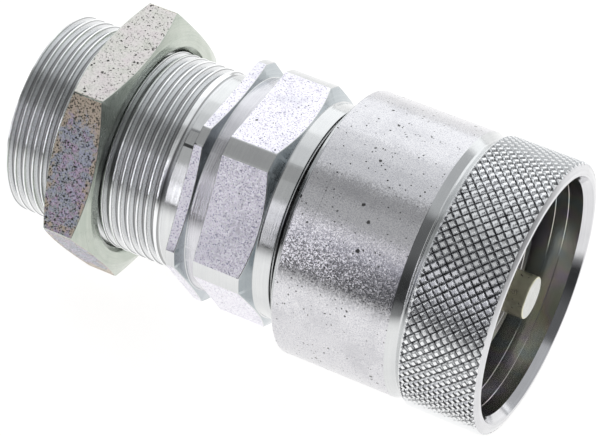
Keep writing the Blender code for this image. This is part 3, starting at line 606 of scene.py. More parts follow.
def facets(tree, size, tilt):
    """A normal that leans another way in each small crystal."""
    cells = add_node(
        tree, "ShaderNodeTexVoronoi", {"Vector": millimetres(tree), "Scale": 1 / size}
    )
    lean = vector_math(tree, "SUBTRACT", {0: cells.outputs["Color"], 1: (0.5, 0.5, 0.5)})
    lean = vector_math(tree, "SCALE", {0: lean, "Scale": tilt})
    normal = add_node(tree, "ShaderNodeNewGeometry").outputs["Normal"]
    leaning = vector_math(tree, "ADD", {0: normal, 1: lean})
    return vector_math(tree, "NORMALIZE", {0: leaning})


def crystalline_zinc(name, flecks, roughness, crystal, tilt, pit_share):
    """Plated metal whose fine crystals sparkle, with faint clouds and a few dark pits."""
    material, tree, shader = new_finish(name, roughness=roughness)
    stops = [(0.30 + 0.40 * i / (len(flecks) - 1), fleck) for i, fleck in enumerate(flecks)]
    colour = ramp(tree, cloud_noise(tree, crystal, 1.0, 0.5, 50.0), stops)
    clouds = spread(tree, cloud_noise(tree, 9.0, 5.0, 0.65, 20.0), 0.52, 0.7, 0.0, 0.3)
    colour = blend(tree, clouds, colour, tuple(value * 0.75 for value in flecks[0]))
    density = spread(tree, cloud_noise(tree, 5.0, 2.0, 0.5, 70.0), 0.4, 0.65, 0.3, 2.5)
    share = calculate(tree, "MULTIPLY", density, pit_share)
    small = pits(tree, 0.5, share)
    large = pits(tree, 1.1, calculate(tree, "MULTIPLY", share, 0.35))
    holes = calculate(tree, "MAXIMUM", small, large)
    colour = blend(tree, holes, colour, (0.10, 0.10, 0.10))
    normal = facets(tree, crystal, tilt)
    normal = bump(tree, calculate(tree, "SUBTRACT", 1.0, holes), 0.03, normal)
    feed(tree, shader, colour, normal)
    return material


def threaded_metal(name, groove, crest):
    """Plated thread: a painted highlight on the crests, painted shade at the roots and as a dark
    line at the crests' foot, and dull scored flanks.
    """
    material, tree, shader = new_finish(name)
    radius = axis_radius(tree)
    rings = turning_noise(tree, 6.0, 1.0, 2.0)
    height = spread(tree, radius, THREAD_RADIUS - THREAD_DEPTH, THREAD_RADIUS, 0.0, 1.0)
    uneven = calculate(tree, "ADD", height, spread(tree, rings, 0.3, 0.7, -0.05, 0.05))
    # foot is the painted shade colour for the roots and for the line just below the crests; the
    # crest colour is a painted highlight
    foot = tuple(value * 0.45 for value in groove)
    floor = [(0.10, foot), (0.22, groove)]
    flank = [(0.70, groove), (0.80, foot), (0.86, foot), (0.92, crest)]
    colour = ramp(tree, uneven, floor + flank)
    gloss = spread(tree, height, 0.8, 1.0, 0.26, 0.14)
    feed(tree, shader, colour, bump(tree, rings, 0.03), gloss)
    return material


def knurled_metal(name, floor, top):
    """Plated knurl: bright diamonds, with painted shade darkening the grooves between them."""
    material, tree, shader = new_finish(name)
    # Darker at smaller radius, as painted shade in the grooves; the noise makes its edge ragged
    shade_edge_jitter = spread(tree, cloud_noise(tree, 0.8, 3.0), 0.3, 0.7, -0.12, 0.12)
    radius = calculate(tree, "ADD", axis_radius(tree), shade_edge_jitter)
    height = spread(tree, radius, KNURL_RADIUS - KNURL_DEPTH, KNURL_RADIUS - 0.3, 0.0, 1.0)
    colour = blend(tree, height, floor, top)
    normal = bump(tree, cloud_noise(tree, 0.15, 2.0), 0.006)
    feed(tree, shader, colour, normal, spread(tree, height, 0.0, 1.0, 0.4, 0.18))
    return material


def nut_border(tree):
    """Distance in millimetres from the edge of the locknut's flats, on the flats."""
    x, offset = from_axis(tree)
    radius = vector_math(tree, "LENGTH", {0: offset})
    slope = NUT_CHAMFER / (NUT_CORNER_RADIUS - NUT_FACE_RADIUS)
    past_face = calculate(tree, "SUBTRACT", radius, NUT_FACE_RADIUS)
    chamfer = calculate(tree, "MULTIPLY", past_face, slope)
    station = calculate(tree, "SUBTRACT", x, TUBE_FACE / MM)
    from_back = calculate(tree, "SUBTRACT", station, NUT_BACK)
    from_front = calculate(tree, "SUBTRACT", NUT_FRONT, station)
    from_end = calculate(tree, "MINIMUM", from_back, from_front)
    from_edge = calculate(tree, "SUBTRACT", from_end, chamfer)
    from_corner = calculate(tree, "SUBTRACT", NUT_CORNER_RADIUS, radius)
    return calculate(tree, "MINIMUM", from_edge, from_corner)


def chromate_border(tree, sideways):
    """Share of the brown border round the locknut's side flats, ragged and wider on top."""
    ragged = spread(tree, cloud_noise(tree, 2.6, 4.0, 0.7, 9.0), 0.35, 0.65, -1.4, 1.5)
    wider = spread(tree, sideways, SIDE_START, SIDE_START + 4.5, 3.4, 0.0)
    width = calculate(tree, "ADD", ragged, wider)
    past = calculate(tree, "SUBTRACT", nut_border(tree), width)
    return spread(tree, past, 0.0, 0.8, 0.9, 0.0)


def chromate_and_shade_colour(tree, on_side, border):
    """Pale on top, with iridescent clouds and a brown border on the sides, which are darker than
    the top partly as painted shade.
    """
    clouds = cloud_noise(tree, 3.6, 5.0, 0.7)
    flecks = spread(tree, cloud_noise(tree, 0.3, 2.0, 0.7, 3.0), 0.4, 0.7, 0.0, 0.6)
    side = blend(tree, flecks, ramp(tree, clouds, SIDE_TINTS), (0.76, 0.74, 0.80))
    side = blend(tree, border, side, (0.58, 0.49, 0.38))
    spots = spread(tree, cloud_noise(tree, 0.35, 2.0, 0.7, 5.0), 0.5, 0.8, 0.0, 0.7)
    pale = blend(tree, spots, ramp(tree, clouds, TOP_TINTS), (0.45, 0.45, 0.42))
    return blend(tree, on_side, pale, side)


def chromate_pits(tree, on_side, border):
    """1 in the chromate's pits, which lie closest on the sides and in the brown border."""
    density = spread(tree, cloud_noise(tree, 2.2, 3.0, 0.6, 31.0), 0.34, 0.50, 0.5, 1.0)
    density = calculate(tree, "ADD", density, calculate(tree, "MULTIPLY", border, 0.3))
    share = calculate(tree, "MULTIPLY", density, spread(tree, on_side, 0.0, 1.0, 0.3, 1.0))
    fine = pits(tree, 0.42, share, 0.9)
    wide = pits(tree, 0.68, calculate(tree, "MULTIPLY", share, 0.85), 1.1)
    specks = spread(tree, cloud_noise(tree, 0.32, 1.0, 0.5, 17.0), 0.61, 0.66, 0.0, 1.0)
    specks = calculate(tree, "MULTIPLY", specks, calculate(tree, "MULTIPLY", share, 0.9))
    return calculate(tree, "MAXIMUM", calculate(tree, "MAXIMUM", fine, wide), specks)


def chromated_steel(name):
    """Olive chromate on pitted steel: pale on top, dark with iridescent clouds on its sides, whose
    darkness is partly painted shade.
    """
    material, tree, shader = new_finish(name)
    split = add_node(tree, "ShaderNodeSeparateXYZ", {0: millimetres(tree)})
    sideways = calculate(tree, "ABSOLUTE", split.outputs["Y"])
    # on_side picks the side flats, which get darker tints partly as painted shade
    on_side = spread(tree, sideways, SIDE_START - 0.4, SIDE_START, 0.0, 1.0)
    border = chromate_border(tree, sideways)
    holes = chromate_pits(tree, on_side, border)
    colour = chromate_and_shade_colour(tree, on_side, border)
    colour = blend(tree, holes, colour, (0.035, 0.035, 0.03))
    grain = cloud_noise(tree, 0.3, 2.0, 0.6, 7.0)
    gloss = spread(tree, grain, 0.3, 0.7, 0.28, 0.45)
    normal = bump(tree, grain, 0.015)
    normal = bump(tree, calculate(tree, "SUBTRACT", 1.0, holes), 0.05, normal)
    feed(tree, shader, colour, normal, gloss)
    return material


def tinted_bore(name, roughness):
    """Thin chromate inside a bore: olive, brown and violet clouds, and fine turned rings."""
    material, tree, shader = new_finish(name, roughness=roughness)
    tints = ramp(
        tree,
        cloud_noise(tree, 7.0, 2.0, 0.5, 13.0),
        [
            (0.36, (0.50, 0.56, 0.56)),
            (0.44, (0.58, 0.60, 0.50)),
            (0.50, (0.62, 0.57, 0.54)),
            (0.56, (0.57, 0.51, 0.60)),
            (0.64, (0.54, 0.58, 0.58)),
        ],
    )
    rings = turning_noise(tree, 4.0, 1.0, 2.0)
    lines = spread(tree, rings, 0.58, 0.75, 0.0, 0.5)
    colour = blend(tree, lines, tints, (0.78, 0.77, 0.76))
    feed(tree, shader, colour, bump(tree, rings, 0.006))
    return material


def soft_finish(name, dark, light, roughness):
    """Rubber or plastic with a slightly uneven surface."""
    material, tree, shader = new_finish(name, 0.0, roughness)
    colour = ramp(tree, cloud_noise(tree, 1.5, 3.0), [(0.3, dark), (0.7, light)])
    feed(tree, shader, colour, bump(tree, cloud_noise(tree, 0.2, 2.0), 0.01))
    return material


TURNED_ZINC = turned_metal("turned_zinc", (0.66, 0.67, 0.68), (0.76, 0.77, 0.77), 0.15, 0.004)
RINGED_ZINC = turned_metal(
    "ringed_zinc", (0.59, 0.58, 0.62), (0.76, 0.76, 0.79), 0.20, 0.05, 5.0
)
RIM_ZINC = turned_metal("rim_zinc", (0.62, 0.62, 0.64), (0.74, 0.74, 0.76), 0.13, 0.004)
# A darker copy of the turned zinc, as painted shade on the body hexagons' chamfers
SHADED_CHAMFER_ZINC = turned_metal("shaded_chamfer_zinc", (0.44, 0.48, 0.51), (0.56, 0.60, 0.62), 0.15, 0.006)
BORE_ZINC = tinted_bore("bore_zinc", 0.2)
# Black painted shade, standing in for the shade on the wall of the gap between the collar and the
# sleeve
GAP_SHADE_BLACK = soft_finish("painted_gap_shade", (0.008, 0.008, 0.008), (0.02, 0.02, 0.02), 0.4)
# The dark floor colour is the painted shade in the knurl's grooves
KNURLED_ZINC = knurled_metal("knurled_zinc", (0.16, 0.16, 0.17), (0.90, 0.91, 0.92))
# The crest colour is a painted highlight on the thread's crests
THREAD_ZINC = threaded_metal("thread_zinc", (0.80, 0.81, 0.82), (0.97, 0.98, 0.99))
HEX_FLECKS = ((0.34, 0.35, 0.46), (0.88, 0.83, 0.92), (0.92, 0.92, 0.98), (0.97, 0.97, 0.99))
SPARKLING_ZINC = crystalline_zinc("sparkling_zinc", HEX_FLECKS, 0.30, 0.30, 0.10, 0.02)
SLEEVE_FLECKS = ((0.54, 0.54, 0.58), (0.70, 0.695, 0.72), (0.78, 0.775, 0.79))
SLEEVE_ZINC = crystalline_zinc("sleeve_zinc", SLEEVE_FLECKS, 0.17, 0.22, 0.075, 0.10)
CHROMATE = chromated_steel("olive_chromate")
CHROMATE_TURNED = turned_metal(
    "turned_chromate", (0.46, 0.51, 0.45), (0.62, 0.65, 0.59), 0.22, 0.004
)
NOSE_STEEL = turned_metal("nose_steel", (0.45, 0.44, 0.43), (0.60, 0.59, 0.57), 0.18, 0.006)
PIN_STEEL = turned_metal("pin_steel", (0.66, 0.65, 0.48), (0.74, 0.72, 0.56), 0.32, 0.004, 8.0)
PIN_FACE = turned_metal("pin_face", (0.56, 0.57, 0.54), (0.66, 0.66, 0.64), 0.30, 0.004)
SPRING_STEEL = turned_metal(
    "oiled_spring_steel", (0.16, 0.16, 0.17), (0.30, 0.30, 0.32), 0.3, 0.003
)
BRONZE = turned_metal("turned_bronze", (0.50, 0.32, 0.14), (0.66, 0.45, 0.22), 0.3, 0.004)
RUBBER = soft_finish("black_rubber_skin", (0.012, 0.012, 0.012), (0.03, 0.03, 0.03), 0.55)
PTFE = soft_finish("white_plastic_skin", (0.80, 0.80, 0.76), (0.88, 0.88, 0.85), 0.45)

# Shares of a pitch at which the threads' profiles have their points
THREAD_PHASES = (0.0, 0.083, 0.17, 0.26, 0.35, 0.4375, 0.5, 0.5625, 0.65, 0.74, 0.83, 0.917)
UNION_PHASES = [step / 10 for step in range(10)]


# Body


def thread_cut(along, angle):
    """Depth of the bulkhead thread's groove at a point of the crest cylinder."""
    turns = (along - THREAD_OFFSET) / THREAD_PITCH - angle / TURN
    away = abs(turns - round(turns)) * THREAD_PITCH
    flank_end = THREAD_PITCH / 2 - THREAD_CREST_HALF
    depth = THREAD_DEPTH * (flank_end - away) / (flank_end - THREAD_ROOT_HALF)
    last = RUNOUT_STATION - (round(turns) + angle / TURN) * THREAD_PITCH - THREAD_OFFSET
    fade = ease(last / THREAD_PITCH / RUNOUT_TURNS)
    return min(max(depth, 0.0), THREAD_DEPTH) * fade


def thread_surface(along, angle):
    """Radius of the bulkhead thread, with its lead-in chamfer and the shank behind it."""
    chamfered = THREAD_RADIUS - max(THREAD_CHAMFER - along, 0.0)
    past = min(max(along - THREAD_END, 0.0) / SHANK_BEVEL, 1.0)
    envelope = chamfered + (SHANK_RADIUS - THREAD_RADIUS) * past
    return min(envelope, THREAD_RADIUS - thread_cut(along, angle))


def chamfer_station(radius, end, length, foot):
    """Where a chamfer that ends at a station and a foot radius reaches a radius."""
    return end - length * (radius - foot) / (BODY_CORNER_RADIUS - foot)


def body_corners(angle):
    hexagon = hexagon_radius(angle, *BODY_HEXAGON)
    seat_edge = chamfer_station(hexagon, SEAT_HEX_END, SEAT_HEX_CHAMFER, STRAP_GROOVE_RADIUS)
    wrench_edge = chamfer_station(hexagon, WRENCH_HEX_END, WRENCH_HEX_CHAMFER, COLLAR_RADIUS)
    return [
        (THREAD_STOP, thread_surface(THREAD_STOP, angle), 0),
        (PILOT_START, SHANK_RADIUS, 0.05),
        (PILOT_START, PILOT_RADIUS, 0.2),
        (SEAT_FACE, PILOT_RADIUS, 0.1),
        (SEAT_FACE, hexagon, 0.15),
        (seat_edge, hexagon, 0.12),
        (SEAT_HEX_END, STRAP_GROOVE_RADIUS, 0.12),
        (WRENCH_HEX_START, STRAP_GROOVE_RADIUS, 0.12),
        (WRENCH_HEX_START, hexagon, 0.14),
        (wrench_edge, hexagon, 0.12),
        (WRENCH_HEX_END, COLLAR_RADIUS, 0.25),
        (COLLAR_END, COLLAR_RADIUS, 0.15),
        (COLLAR_END, COLLAR_STEP[1], 0.05),
        (COLLAR_STEP[0], COLLAR_STEP[1], 0.05),
        (COLLAR_STEP[0], JOURNAL_RADIUS, 0.2),
        *groove(WIRE_GROOVE, JOURNAL_RADIUS, WIRE_GROOVE_RADIUS, 0.1, 0.3),
        (BODY_FRONT, JOURNAL_RADIUS, 0.5),
        (BODY_FRONT, NOSE_SOCKET_RADIUS, 0.1),
        (NOSE_SOCKET_START, NOSE_SOCKET_RADIUS, 0.1),
        (NOSE_SOCKET_START, CHAMBER_RADIUS, 0.1),
        *groove(SNAP_GROOVE[::-1], CHAMBER_RADIUS, SNAP_GROOVE_RADIUS, 0.05, 0.05),
        (CHAMBER_START, CHAMBER_RADIUS, 0.1),
        (CHAMBER_START, FLOW_RADIUS, 0.2),
        (TUBE_SOCKET_END, FLOW_RADIUS, 0.3),
        (TUBE_SOCKET_END, TUBE_SOCKET_RADIUS, 0.2),
        (CONE_END, TUBE_SOCKET_RADIUS, 0.1),
        (0, CONE_MOUTH_RADIUS, 0.2),
        (0, thread_surface(0, angle), 0),
    ]


SEAT_FLAT_CORNER = 4
WRENCH_FLAT_CORNER = 8
CHAMFER_CORNERS = (5, 9)
STRAP_GROOVE_CORNERS = (6, 7)
GAP_WALL_CORNERS = (11, 13)
SPARKLE_SLOT = 1
THREAD_SLOT = 2
RINGED_SLOT = 3
GAP_SHADE_SLOT = 4
CHAMFER_SLOT = 5


def on_flat(angle, flats, corner_radius, first_corner):
    """Whether an angle falls on a flat of a hexagon and not on its turned corner."""
    half_flat = math.acos(flats / 2 / corner_radius)
    return abs(from_flat_middle(angle, first_corner)) < half_flat


def build_body():
    angles = angles_with_hexagon(BODY_COLUMNS, *BODY_HEXAGON)
    skin = Skin()
    thread = helical_columns(
        angles, 0, THREAD_STOP, THREAD_PITCH, THREAD_OFFSET, THREAD_PHASES, thread_surface
    )
    skin.strip(angles, thread, THREAD_SLOT, len(THREAD_PHASES))
    columns = [rounded(body_corners(angle)) for angle in angles]
    per_corner = FILLET_STEPS + 1
    flat_rows = [per_corner * corner for corner in (SEAT_FLAT_CORNER, WRENCH_FLAT_CORNER)]
    ringed_rows = range(*(per_corner * corner for corner in STRAP_GROOVE_CORNERS))
    wall_rows = [per_corner * corner for corner in GAP_WALL_CORNERS]
    chamfer_rows = [per_corner * corner for corner in CHAMFER_CORNERS]

    def slot(i, k):
        middle = (angles[i] + angles[(i + 1) % len(angles)]) / 2
        flat = on_flat(middle, *BODY_HEXAGON)
        if k in ringed_rows:
            return RINGED_SLOT
        # The wall of that gap gets the black painted shade
        if k in wall_rows:
            return GAP_SHADE_SLOT
        # The hexagons' chamfers get the darker zinc as painted shade
        if k in chamfer_rows:
            return CHAMFER_SLOT
        return SPARKLE_SLOT if flat and k in flat_rows else 0

    skin.strip(angles, columns, slot)
    skin.finish(
        "coupling_body_skin",
        "housing",
        [TURNED_ZINC, SPARKLING_ZINC, THREAD_ZINC, RINGED_ZINC, GAP_SHADE_BLACK, SHADED_CHAMFER_ZINC],
        ["coupling_body"],
        "bright_zinc",
    )


# Locknut


def nut_corners(angle):
    hexagon = hexagon_radius(angle, *NUT_HEXAGON)
    edge = NUT_CHAMFER * (hexagon - NUT_FACE_RADIUS) / (NUT_CORNER_RADIUS - NUT_FACE_RADIUS)
    countersink = NUT_BORE_RADIUS + NUT_BORE_CHAMFER
    start = (NUT_BACK, (countersink + NUT_FACE_RADIUS) / 2, 0)
    return [
        start,
        (NUT_BACK, NUT_FACE_RADIUS, 0.2),
        (NUT_BACK + edge, hexagon, 0.12),
        (NUT_FRONT - edge, hexagon, 0.12),
        (NUT_FRONT, NUT_FACE_RADIUS, 0.2),
        (NUT_FRONT, countersink, 0.1),
        (NUT_FRONT - NUT_BORE_CHAMFER, NUT_BORE_RADIUS, 0.1),
        (NUT_BACK + NUT_BORE_CHAMFER, NUT_BORE_RADIUS, 0.1),
        (NUT_BACK, countersink, 0.1),
        start,
    ]


def build_locknut():
    angles = angles_with_hexagon(BODY_COLUMNS, *NUT_HEXAGON)
    columns = [rounded(nut_corners(angle)) for angle in angles]
    flat_row = 2 * (FILLET_STEPS + 1)

    def slot(i, k):
        middle = (angles[i] + angles[(i + 1) % len(angles)]) / 2
        flat = on_flat(middle, *NUT_HEXAGON)
        return 1 if flat and k == flat_row else 0

    skin = Skin()
    skin.strip(angles, columns, slot)
    skin.finish(
        "bulkhead_locknut_skin",
        "locknut",
        [CHROMATE_TURNED, CHROMATE],
        ["bulkhead_locknut"],
        "olive_chromate",
    )


# Union sleeve


def knurl_height(i, k):
    """Height of the knurl at a grid point, from 0 in its grooves to 1 on its tops."""
    u = i / KNURL_STEPS
    v = k / KNURL_STEPS
    rising = abs((u + v) - round(u + v)) * 2
    falling = abs((u - v) - round(u - v)) * 2
    return min(rising, falling, KNURL_TOP_SHARE) / KNURL_TOP_SHARE


def knurl_envelope(along):
    """Radius of the band that the knurl is rolled into, with its rise and its front bevel."""
    rise = KNURL_RADIUS - max(GROOVE_END + KNURL_RISE - along, 0.0)
    past = max(along - KNURL_END, 0.0) / (SLEEVE_FRONT - SLEEVE_BACK - KNURL_END)
    return rise + (MOUTH_FACE_RADIUS - KNURL_RADIUS) * past


def knurl_columns(rows):
    columns = []
    for i in range(KNURL_CELLS * KNURL_STEPS):
        column = []
        for k in range(rows):
            along = GROOVE_END + k * KNURL_CELL_LENGTH / KNURL_STEPS
            fade = ease((along - GROOVE_END) / KNURL_FADE)
            cut = KNURL_DEPTH * (1 - knurl_height(i, k)) * fade
            radius = min(knurl_envelope(along), KNURL_RADIUS - cut)
            column.append((SLEEVE_BACK + along, radius))
        columns.append(column)
    return columns


def knurl_split(i, k):
    """Which diagonal of a grid square lies on a crease of the knurl."""
    half = KNURL_STEPS // 2
    if (i + k + 1) % half == 0:
        return -1
    return 1


def join_rings(skin, coarse, fine, slot):
    """Joins a ring of points to one that has several times as many."""
    times = len(fine) // len(coarse)
    for i, point in enumerate(coarse):
        across = coarse[(i + 1) % len(coarse)]
        run = [fine[(i * times + step) % len(fine)] for step in range(times + 1)]
        skin.add((point, across, *reversed(run)), slot)


def union_thread_surface(along, angle):
    """Radius of the thread inside the sleeve, relieved behind and chamfered in front."""
    turns = along / UNION_PITCH - angle / TURN
    away = abs(turns - round(turns)) * 2
    height = ease((UNION_GROOVE_SHARE - away) / UNION_FLANK_SHARE)
    radius = UNION_BORE_RADIUS + (UNION_ROOT_RADIUS - UNION_BORE_RADIUS) * height
    past = max(along - (SLEEVE_BACK + GUIDE_BORE_START - UNION_LEAD), 0.0)
    before = max(SLEEVE_BACK + UNION_THREAD_START + UNION_RELIEF - along, 0.0)
    lead = UNION_BORE_RADIUS + past * UNION_LEAD_SLOPE
    relief = UNION_BORE_RADIUS + before
    return min(max(radius, lead, relief), GUIDE_BORE_RADIUS if past else UNION_ROOT_RADIUS)


GRAINED_SLOT = 1
KNURL_SLOT = 2
RIM_SLOT = 3
BORE_SLOT = 4


def sleeve_outline(corners):
    """A rounded outline, moved from the sleeve's own stations to the coupling's."""
    return [(SLEEVE_BACK + along, radius) for along, radius in rounded(corners)]


def sleeve_outside():
    """The back edge, the smooth band and the groove up to the knurl."""
    groove_floor = SLEEVE_RADIUS - GROOVE_DEPTH
    floor_start = GROOVE_START + GROOVE_WALL
    rise_end = GROOVE_END - KNURL_GAP
    rise = [
        (
            floor_start + (rise_end - floor_start) * step / RISE_STEPS,
            groove_floor + GROOVE_DEPTH * (step / RISE_STEPS) ** 2,
            0,
        )
        for step in range(1, RISE_STEPS + 1)
    ]
    corners = [
        (0, WIPER_SEAT_RADIUS, 0),
        (0, SLEEVE_RADIUS - BACK_EDGE_DEPTH, 0.1),
        (BACK_STEP[0], SLEEVE_RADIUS - BACK_STEP[1], 0.2),
        (BACK_BEVEL_LENGTH, SLEEVE_RADIUS, 0.25),
        (TOOL_LINE - TOOL_LINE_WIDTH / 2, SLEEVE_RADIUS, 0),
        (TOOL_LINE, SLEEVE_RADIUS - TOOL_LINE_DEPTH, 0),
        (TOOL_LINE + TOOL_LINE_WIDTH / 2, SLEEVE_RADIUS, 0),
        (GROOVE_START, SLEEVE_RADIUS, 0.15),
        (floor_start, groove_floor, 0.2),
    ]
    return sleeve_outline(corners + rise)


def sleeve_mouth():
    """The rim in front of the knurl and the mouth's bevel."""
    length = SLEEVE_FRONT - SLEEVE_BACK
    corners = [
        (length - RIM_LENGTH, knurl_envelope(length - RIM_LENGTH), 0),
        (length, MOUTH_FACE_RADIUS, 0.15),
        (length, MOUTH_RADIUS, 0.12),
        (length - MOUTH_BEVEL_LENGTH, GUIDE_BORE_RADIUS, 0),
    ]
    return sleeve_outline(corners)


def sleeve_guide_bore():
    """The bore behind the mouth, with its fine turned lines."""
    line = ((BORE_LINE_WIDTH, 0), (0, BORE_LINE_DEPTH), (-BORE_LINE_WIDTH, 0))
    corners = [
        (SLEEVE_FRONT - SLEEVE_BACK - MOUTH_BEVEL_LENGTH, GUIDE_BORE_RADIUS, 0),
        *[(at + s, GUIDE_BORE_RADIUS + d, 0) for at in BORE_LINES for s, d in line],
        (GUIDE_BORE_START, GUIDE_BORE_RADIUS, 0),
    ]
    return sleeve_outline(corners)


def sleeve_inside():
    """The flange behind the union thread, down to the wiper's seat."""
    corners = [
        (UNION_THREAD_START, UNION_ROOT_RADIUS, 0),
        (FLANGE_END, UNION_ROOT_RADIUS, 0.3),
        (FLANGE_END, SLEEVE_BORE_RADIUS, 0.1),
        (WIPER_SEAT_DEPTH, SLEEVE_BORE_RADIUS, 0.1),
        (WIPER_SEAT_DEPTH, WIPER_SEAT_RADIUS, 0.1),
        (0, WIPER_SEAT_RADIUS, 0),
    ]
    return sleeve_outline(corners)


def build_sleeve():
    angles = even_angles(SLEEVE_COLUMNS)
    skin = Skin()
    knurled = SLEEVE_FRONT - SLEEVE_BACK - RIM_LENGTH_WITH_GAP - GROOVE_END
    columns = knurl_columns(int(knurled * KNURL_STEPS / KNURL_CELL_LENGTH) + 1)
    first, count = skin.strip(even_angles(len(columns)), columns, KNURL_SLOT, 0, knurl_split)
    knurl_back = [first + i * count for i in range(len(columns))]
    knurl_front = [point + count - 1 for point in knurl_back]

    outside = sleeve_outside()

    def outer_slot(i, k):
        middle = (outside[k][0] + outside[k + 1][0]) / 2 - SLEEVE_BACK
        return GRAINED_SLOT if BACK_BEVEL_LENGTH < middle < GROOVE_START else 0

    first, count = skin.strip(angles, [outside] * len(angles), outer_slot)
    groove_end = [first + i * count + count - 1 for i in range(len(angles))]
    join_rings(skin, groove_end, knurl_back, 0)

    first, count = skin.strip(angles, [sleeve_mouth()] * len(angles), RIM_SLOT)
    rim_start = [first + i * count for i in range(len(angles))]
    join_rings(skin, rim_start, knurl_front, RIM_SLOT)
    skin.strip(angles, [sleeve_guide_bore()] * len(angles), BORE_SLOT)

    start = SLEEVE_BACK + UNION_THREAD_START
    end = SLEEVE_BACK + GUIDE_BORE_START
    thread = helical_columns(
        angles, start, end, UNION_PITCH, 0.0, UNION_PHASES, union_thread_surface
    )
    skin.strip(angles, thread, 0, len(UNION_PHASES))
    skin.strip(angles, [sleeve_inside()] * len(angles))
    skin.finish(
        "union_sleeve_skin",
        "sleeve",
        [TURNED_ZINC, SLEEVE_ZINC, KNURLED_ZINC, RIM_ZINC, BORE_ZINC],
        ["union_sleeve"],
        "bright_zinc",
        SLEEVE_SHARP_ANGLE,
    )


# Nose, pin and the plain CAD pieces


def build_nose():
    start = (NOSE_BACK, (NOSE_CHAMBER_RADIUS + NOSE_SHANK_RADIUS) / 2, 0)
    ring_back = NOSE_FRONT - NOSE_RING_DEPTH
    corners = [
        start,
        (NOSE_BACK, NOSE_SHANK_RADIUS, 0.2),
        *groove(SHANK_GROOVE, NOSE_SHANK_RADIUS, SHANK_GROOVE_RADIUS, 0.1, 0.1),
        (NOSE_COLLAR[0], NOSE_SHANK_RADIUS, 0.1),
        (NOSE_COLLAR[0], NOSE_COLLAR_RADIUS, 0.2),
        (NOSE_COLLAR[1], NOSE_COLLAR_RADIUS, 0.3),
        (NOSE_COLLAR[1], NOSE_RADIUS, 0.3),
        *groove(SEAL_GROOVE, NOSE_RADIUS, SEAL_GROOVE_RADIUS, 0.1, 0.1),
        (NOSE_FRONT, NOSE_RADIUS, 0.5),
        (NOSE_FRONT, NOSE_RING_RADIUS + NOSE_RING_DEPTH, 0.1),
        (ring_back, NOSE_RING_RADIUS, 0.1),
        (NOSE_FRONT, NOSE_RING_RADIUS - NOSE_RING_DEPTH, 0.1),
        (NOSE_FRONT, NOSE_MOUTH_RADIUS, 0.15),
        (VALVE_SEAT[1], NOSE_MOUTH_RADIUS, 0.2),
        (VALVE_SEAT[0], NOSE_THROAT_RADIUS, 0.2),
        (CHAMBER_NECK[1], NOSE_THROAT_RADIUS, 0.3),
        (CHAMBER_NECK[0], NOSE_CHAMBER_RADIUS, 0.3),
        (NOSE_BACK, NOSE_CHAMBER_RADIUS, 0.1),
        start,
    ]
    skin = turned_skin(corners, BODY_COLUMNS)
    skin.finish("valve_nose_skin", "housing", [NOSE_STEEL], ["valve_nose"], "turned_steel")


def build_pin():
    back = back_of("tappet_pin")
    corners = [
        (back, 0, 0),
        (back, PIN_TANG_RADIUS, 0.3),
        (PIN_SHOULDER, PIN_TANG_RADIUS, 0.05),
        (PIN_SHOULDER, PIN_RADIUS, 0.2),
        (PIN_FRONT, PIN_RADIUS, 0.3),
        (PIN_FRONT, 0, 0),
    ]
    skin = turned_skin(corners, SMALL_COLUMNS)
    end_row = len(rounded(corners)) - 2
    rows = end_row + 1
    skin.slots = [1 if i % rows == end_row else 0 for i in range(len(skin.faces))]
    skin.finish("tappet_pin_skin", "valve", [PIN_STEEL, PIN_FACE], ["tappet_pin"], "turned_steel")


def spring_height(turn, length, closed):
    """Height of the wire's middle after a number of turns, with a flat turn at each end."""
    pitch = (length - 2 * closed) / (SPRING_TURNS - 2)
    if turn <= 1:
        return closed * turn
    if turn >= SPRING_TURNS - 1:
        return length - closed * (SPRING_TURNS - turn)
    return closed + pitch * (turn - 1)


def build_spring():
    """The valve's spring, a round wire that starts at the bottom of the seat washer."""
    back = back_of("poppet_spring")
    free_length = front_of("poppet_spring") - back
    height = free_length - 2 * WIRE_RADIUS
    closed = 2 * WIRE_RADIUS + SPRING_GAP
    sides = even_angles(WIRE_SIDES)
    skin = Skin()
    rings = []
    for i in range(SPRING_TURNS * SPRING_STEPS_PER_TURN + 1):
        turn = i / SPRING_STEPS_PER_TURN
        along = back + WIRE_RADIUS + spring_height(turn, height, closed)
        first = len(skin.points)
        skin.points += [
            place(
                along + WIRE_RADIUS * math.sin(side),
                SPRING_MEAN_RADIUS + WIRE_RADIUS * math.cos(side),
                math.pi + TURN * turn,
            )
            for side in sides
        ]
        rings.append(range(first, len(skin.points)))
    for ring, following in zip(rings, rings[1:]):
        for side in range(WIRE_SIDES):
            after = (side + 1) % WIRE_SIDES
            skin.add((ring[side], ring[after], following[after], following[side]), 0)
    skin.add(tuple(rings[0]), 0)
    skin.add(tuple(rings[-1]), 0)
    spring = skin.finish(
        "poppet_spring_skin", "housing", [SPRING_STEEL], ["poppet_spring"], "spring_steel"
    )
    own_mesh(spring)


def dress_cad_nodes():
    """Gives the CAD nodes that stay their finishes."""
    finishes = {
        "sleeve_wiper_ring": (RUBBER, "black_rubber"),
        "sleeve_thrust_washer": (PTFE, "white_ptfe"),
        "sleeve_retaining_ring": (SPRING_STEEL, "spring_steel"),
        "nose_shank_o_ring": (RUBBER, "black_rubber"),
        "nose_seal_o_ring": (RUBBER, "black_rubber"),
        "nose_backup_ring": (PTFE, "white_ptfe"),
        "poppet": (NOSE_STEEL, "turned_steel"),
        "poppet_seal": (RUBBER, "black_rubber"),
        "seal_clamp_disc": (NOSE_STEEL, "turned_steel"),
        "poppet_guide": (NOSE_STEEL, "turned_steel"),
        "guide_bush": (BRONZE, "bearing_bronze"),
        "guide_snap_ring": (SPRING_STEEL, "spring_steel"),
        "stem_stop_ring": (SPRING_STEEL, "spring_steel"),
        "spring_seat_washer": (NOSE_STEEL, "turned_steel"),
    }
    for name, (material, slot) in finishes.items():
        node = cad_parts[name]
        node.data.materials.clear()
        node.data.materials.append(material)


# Camera, floor and lights


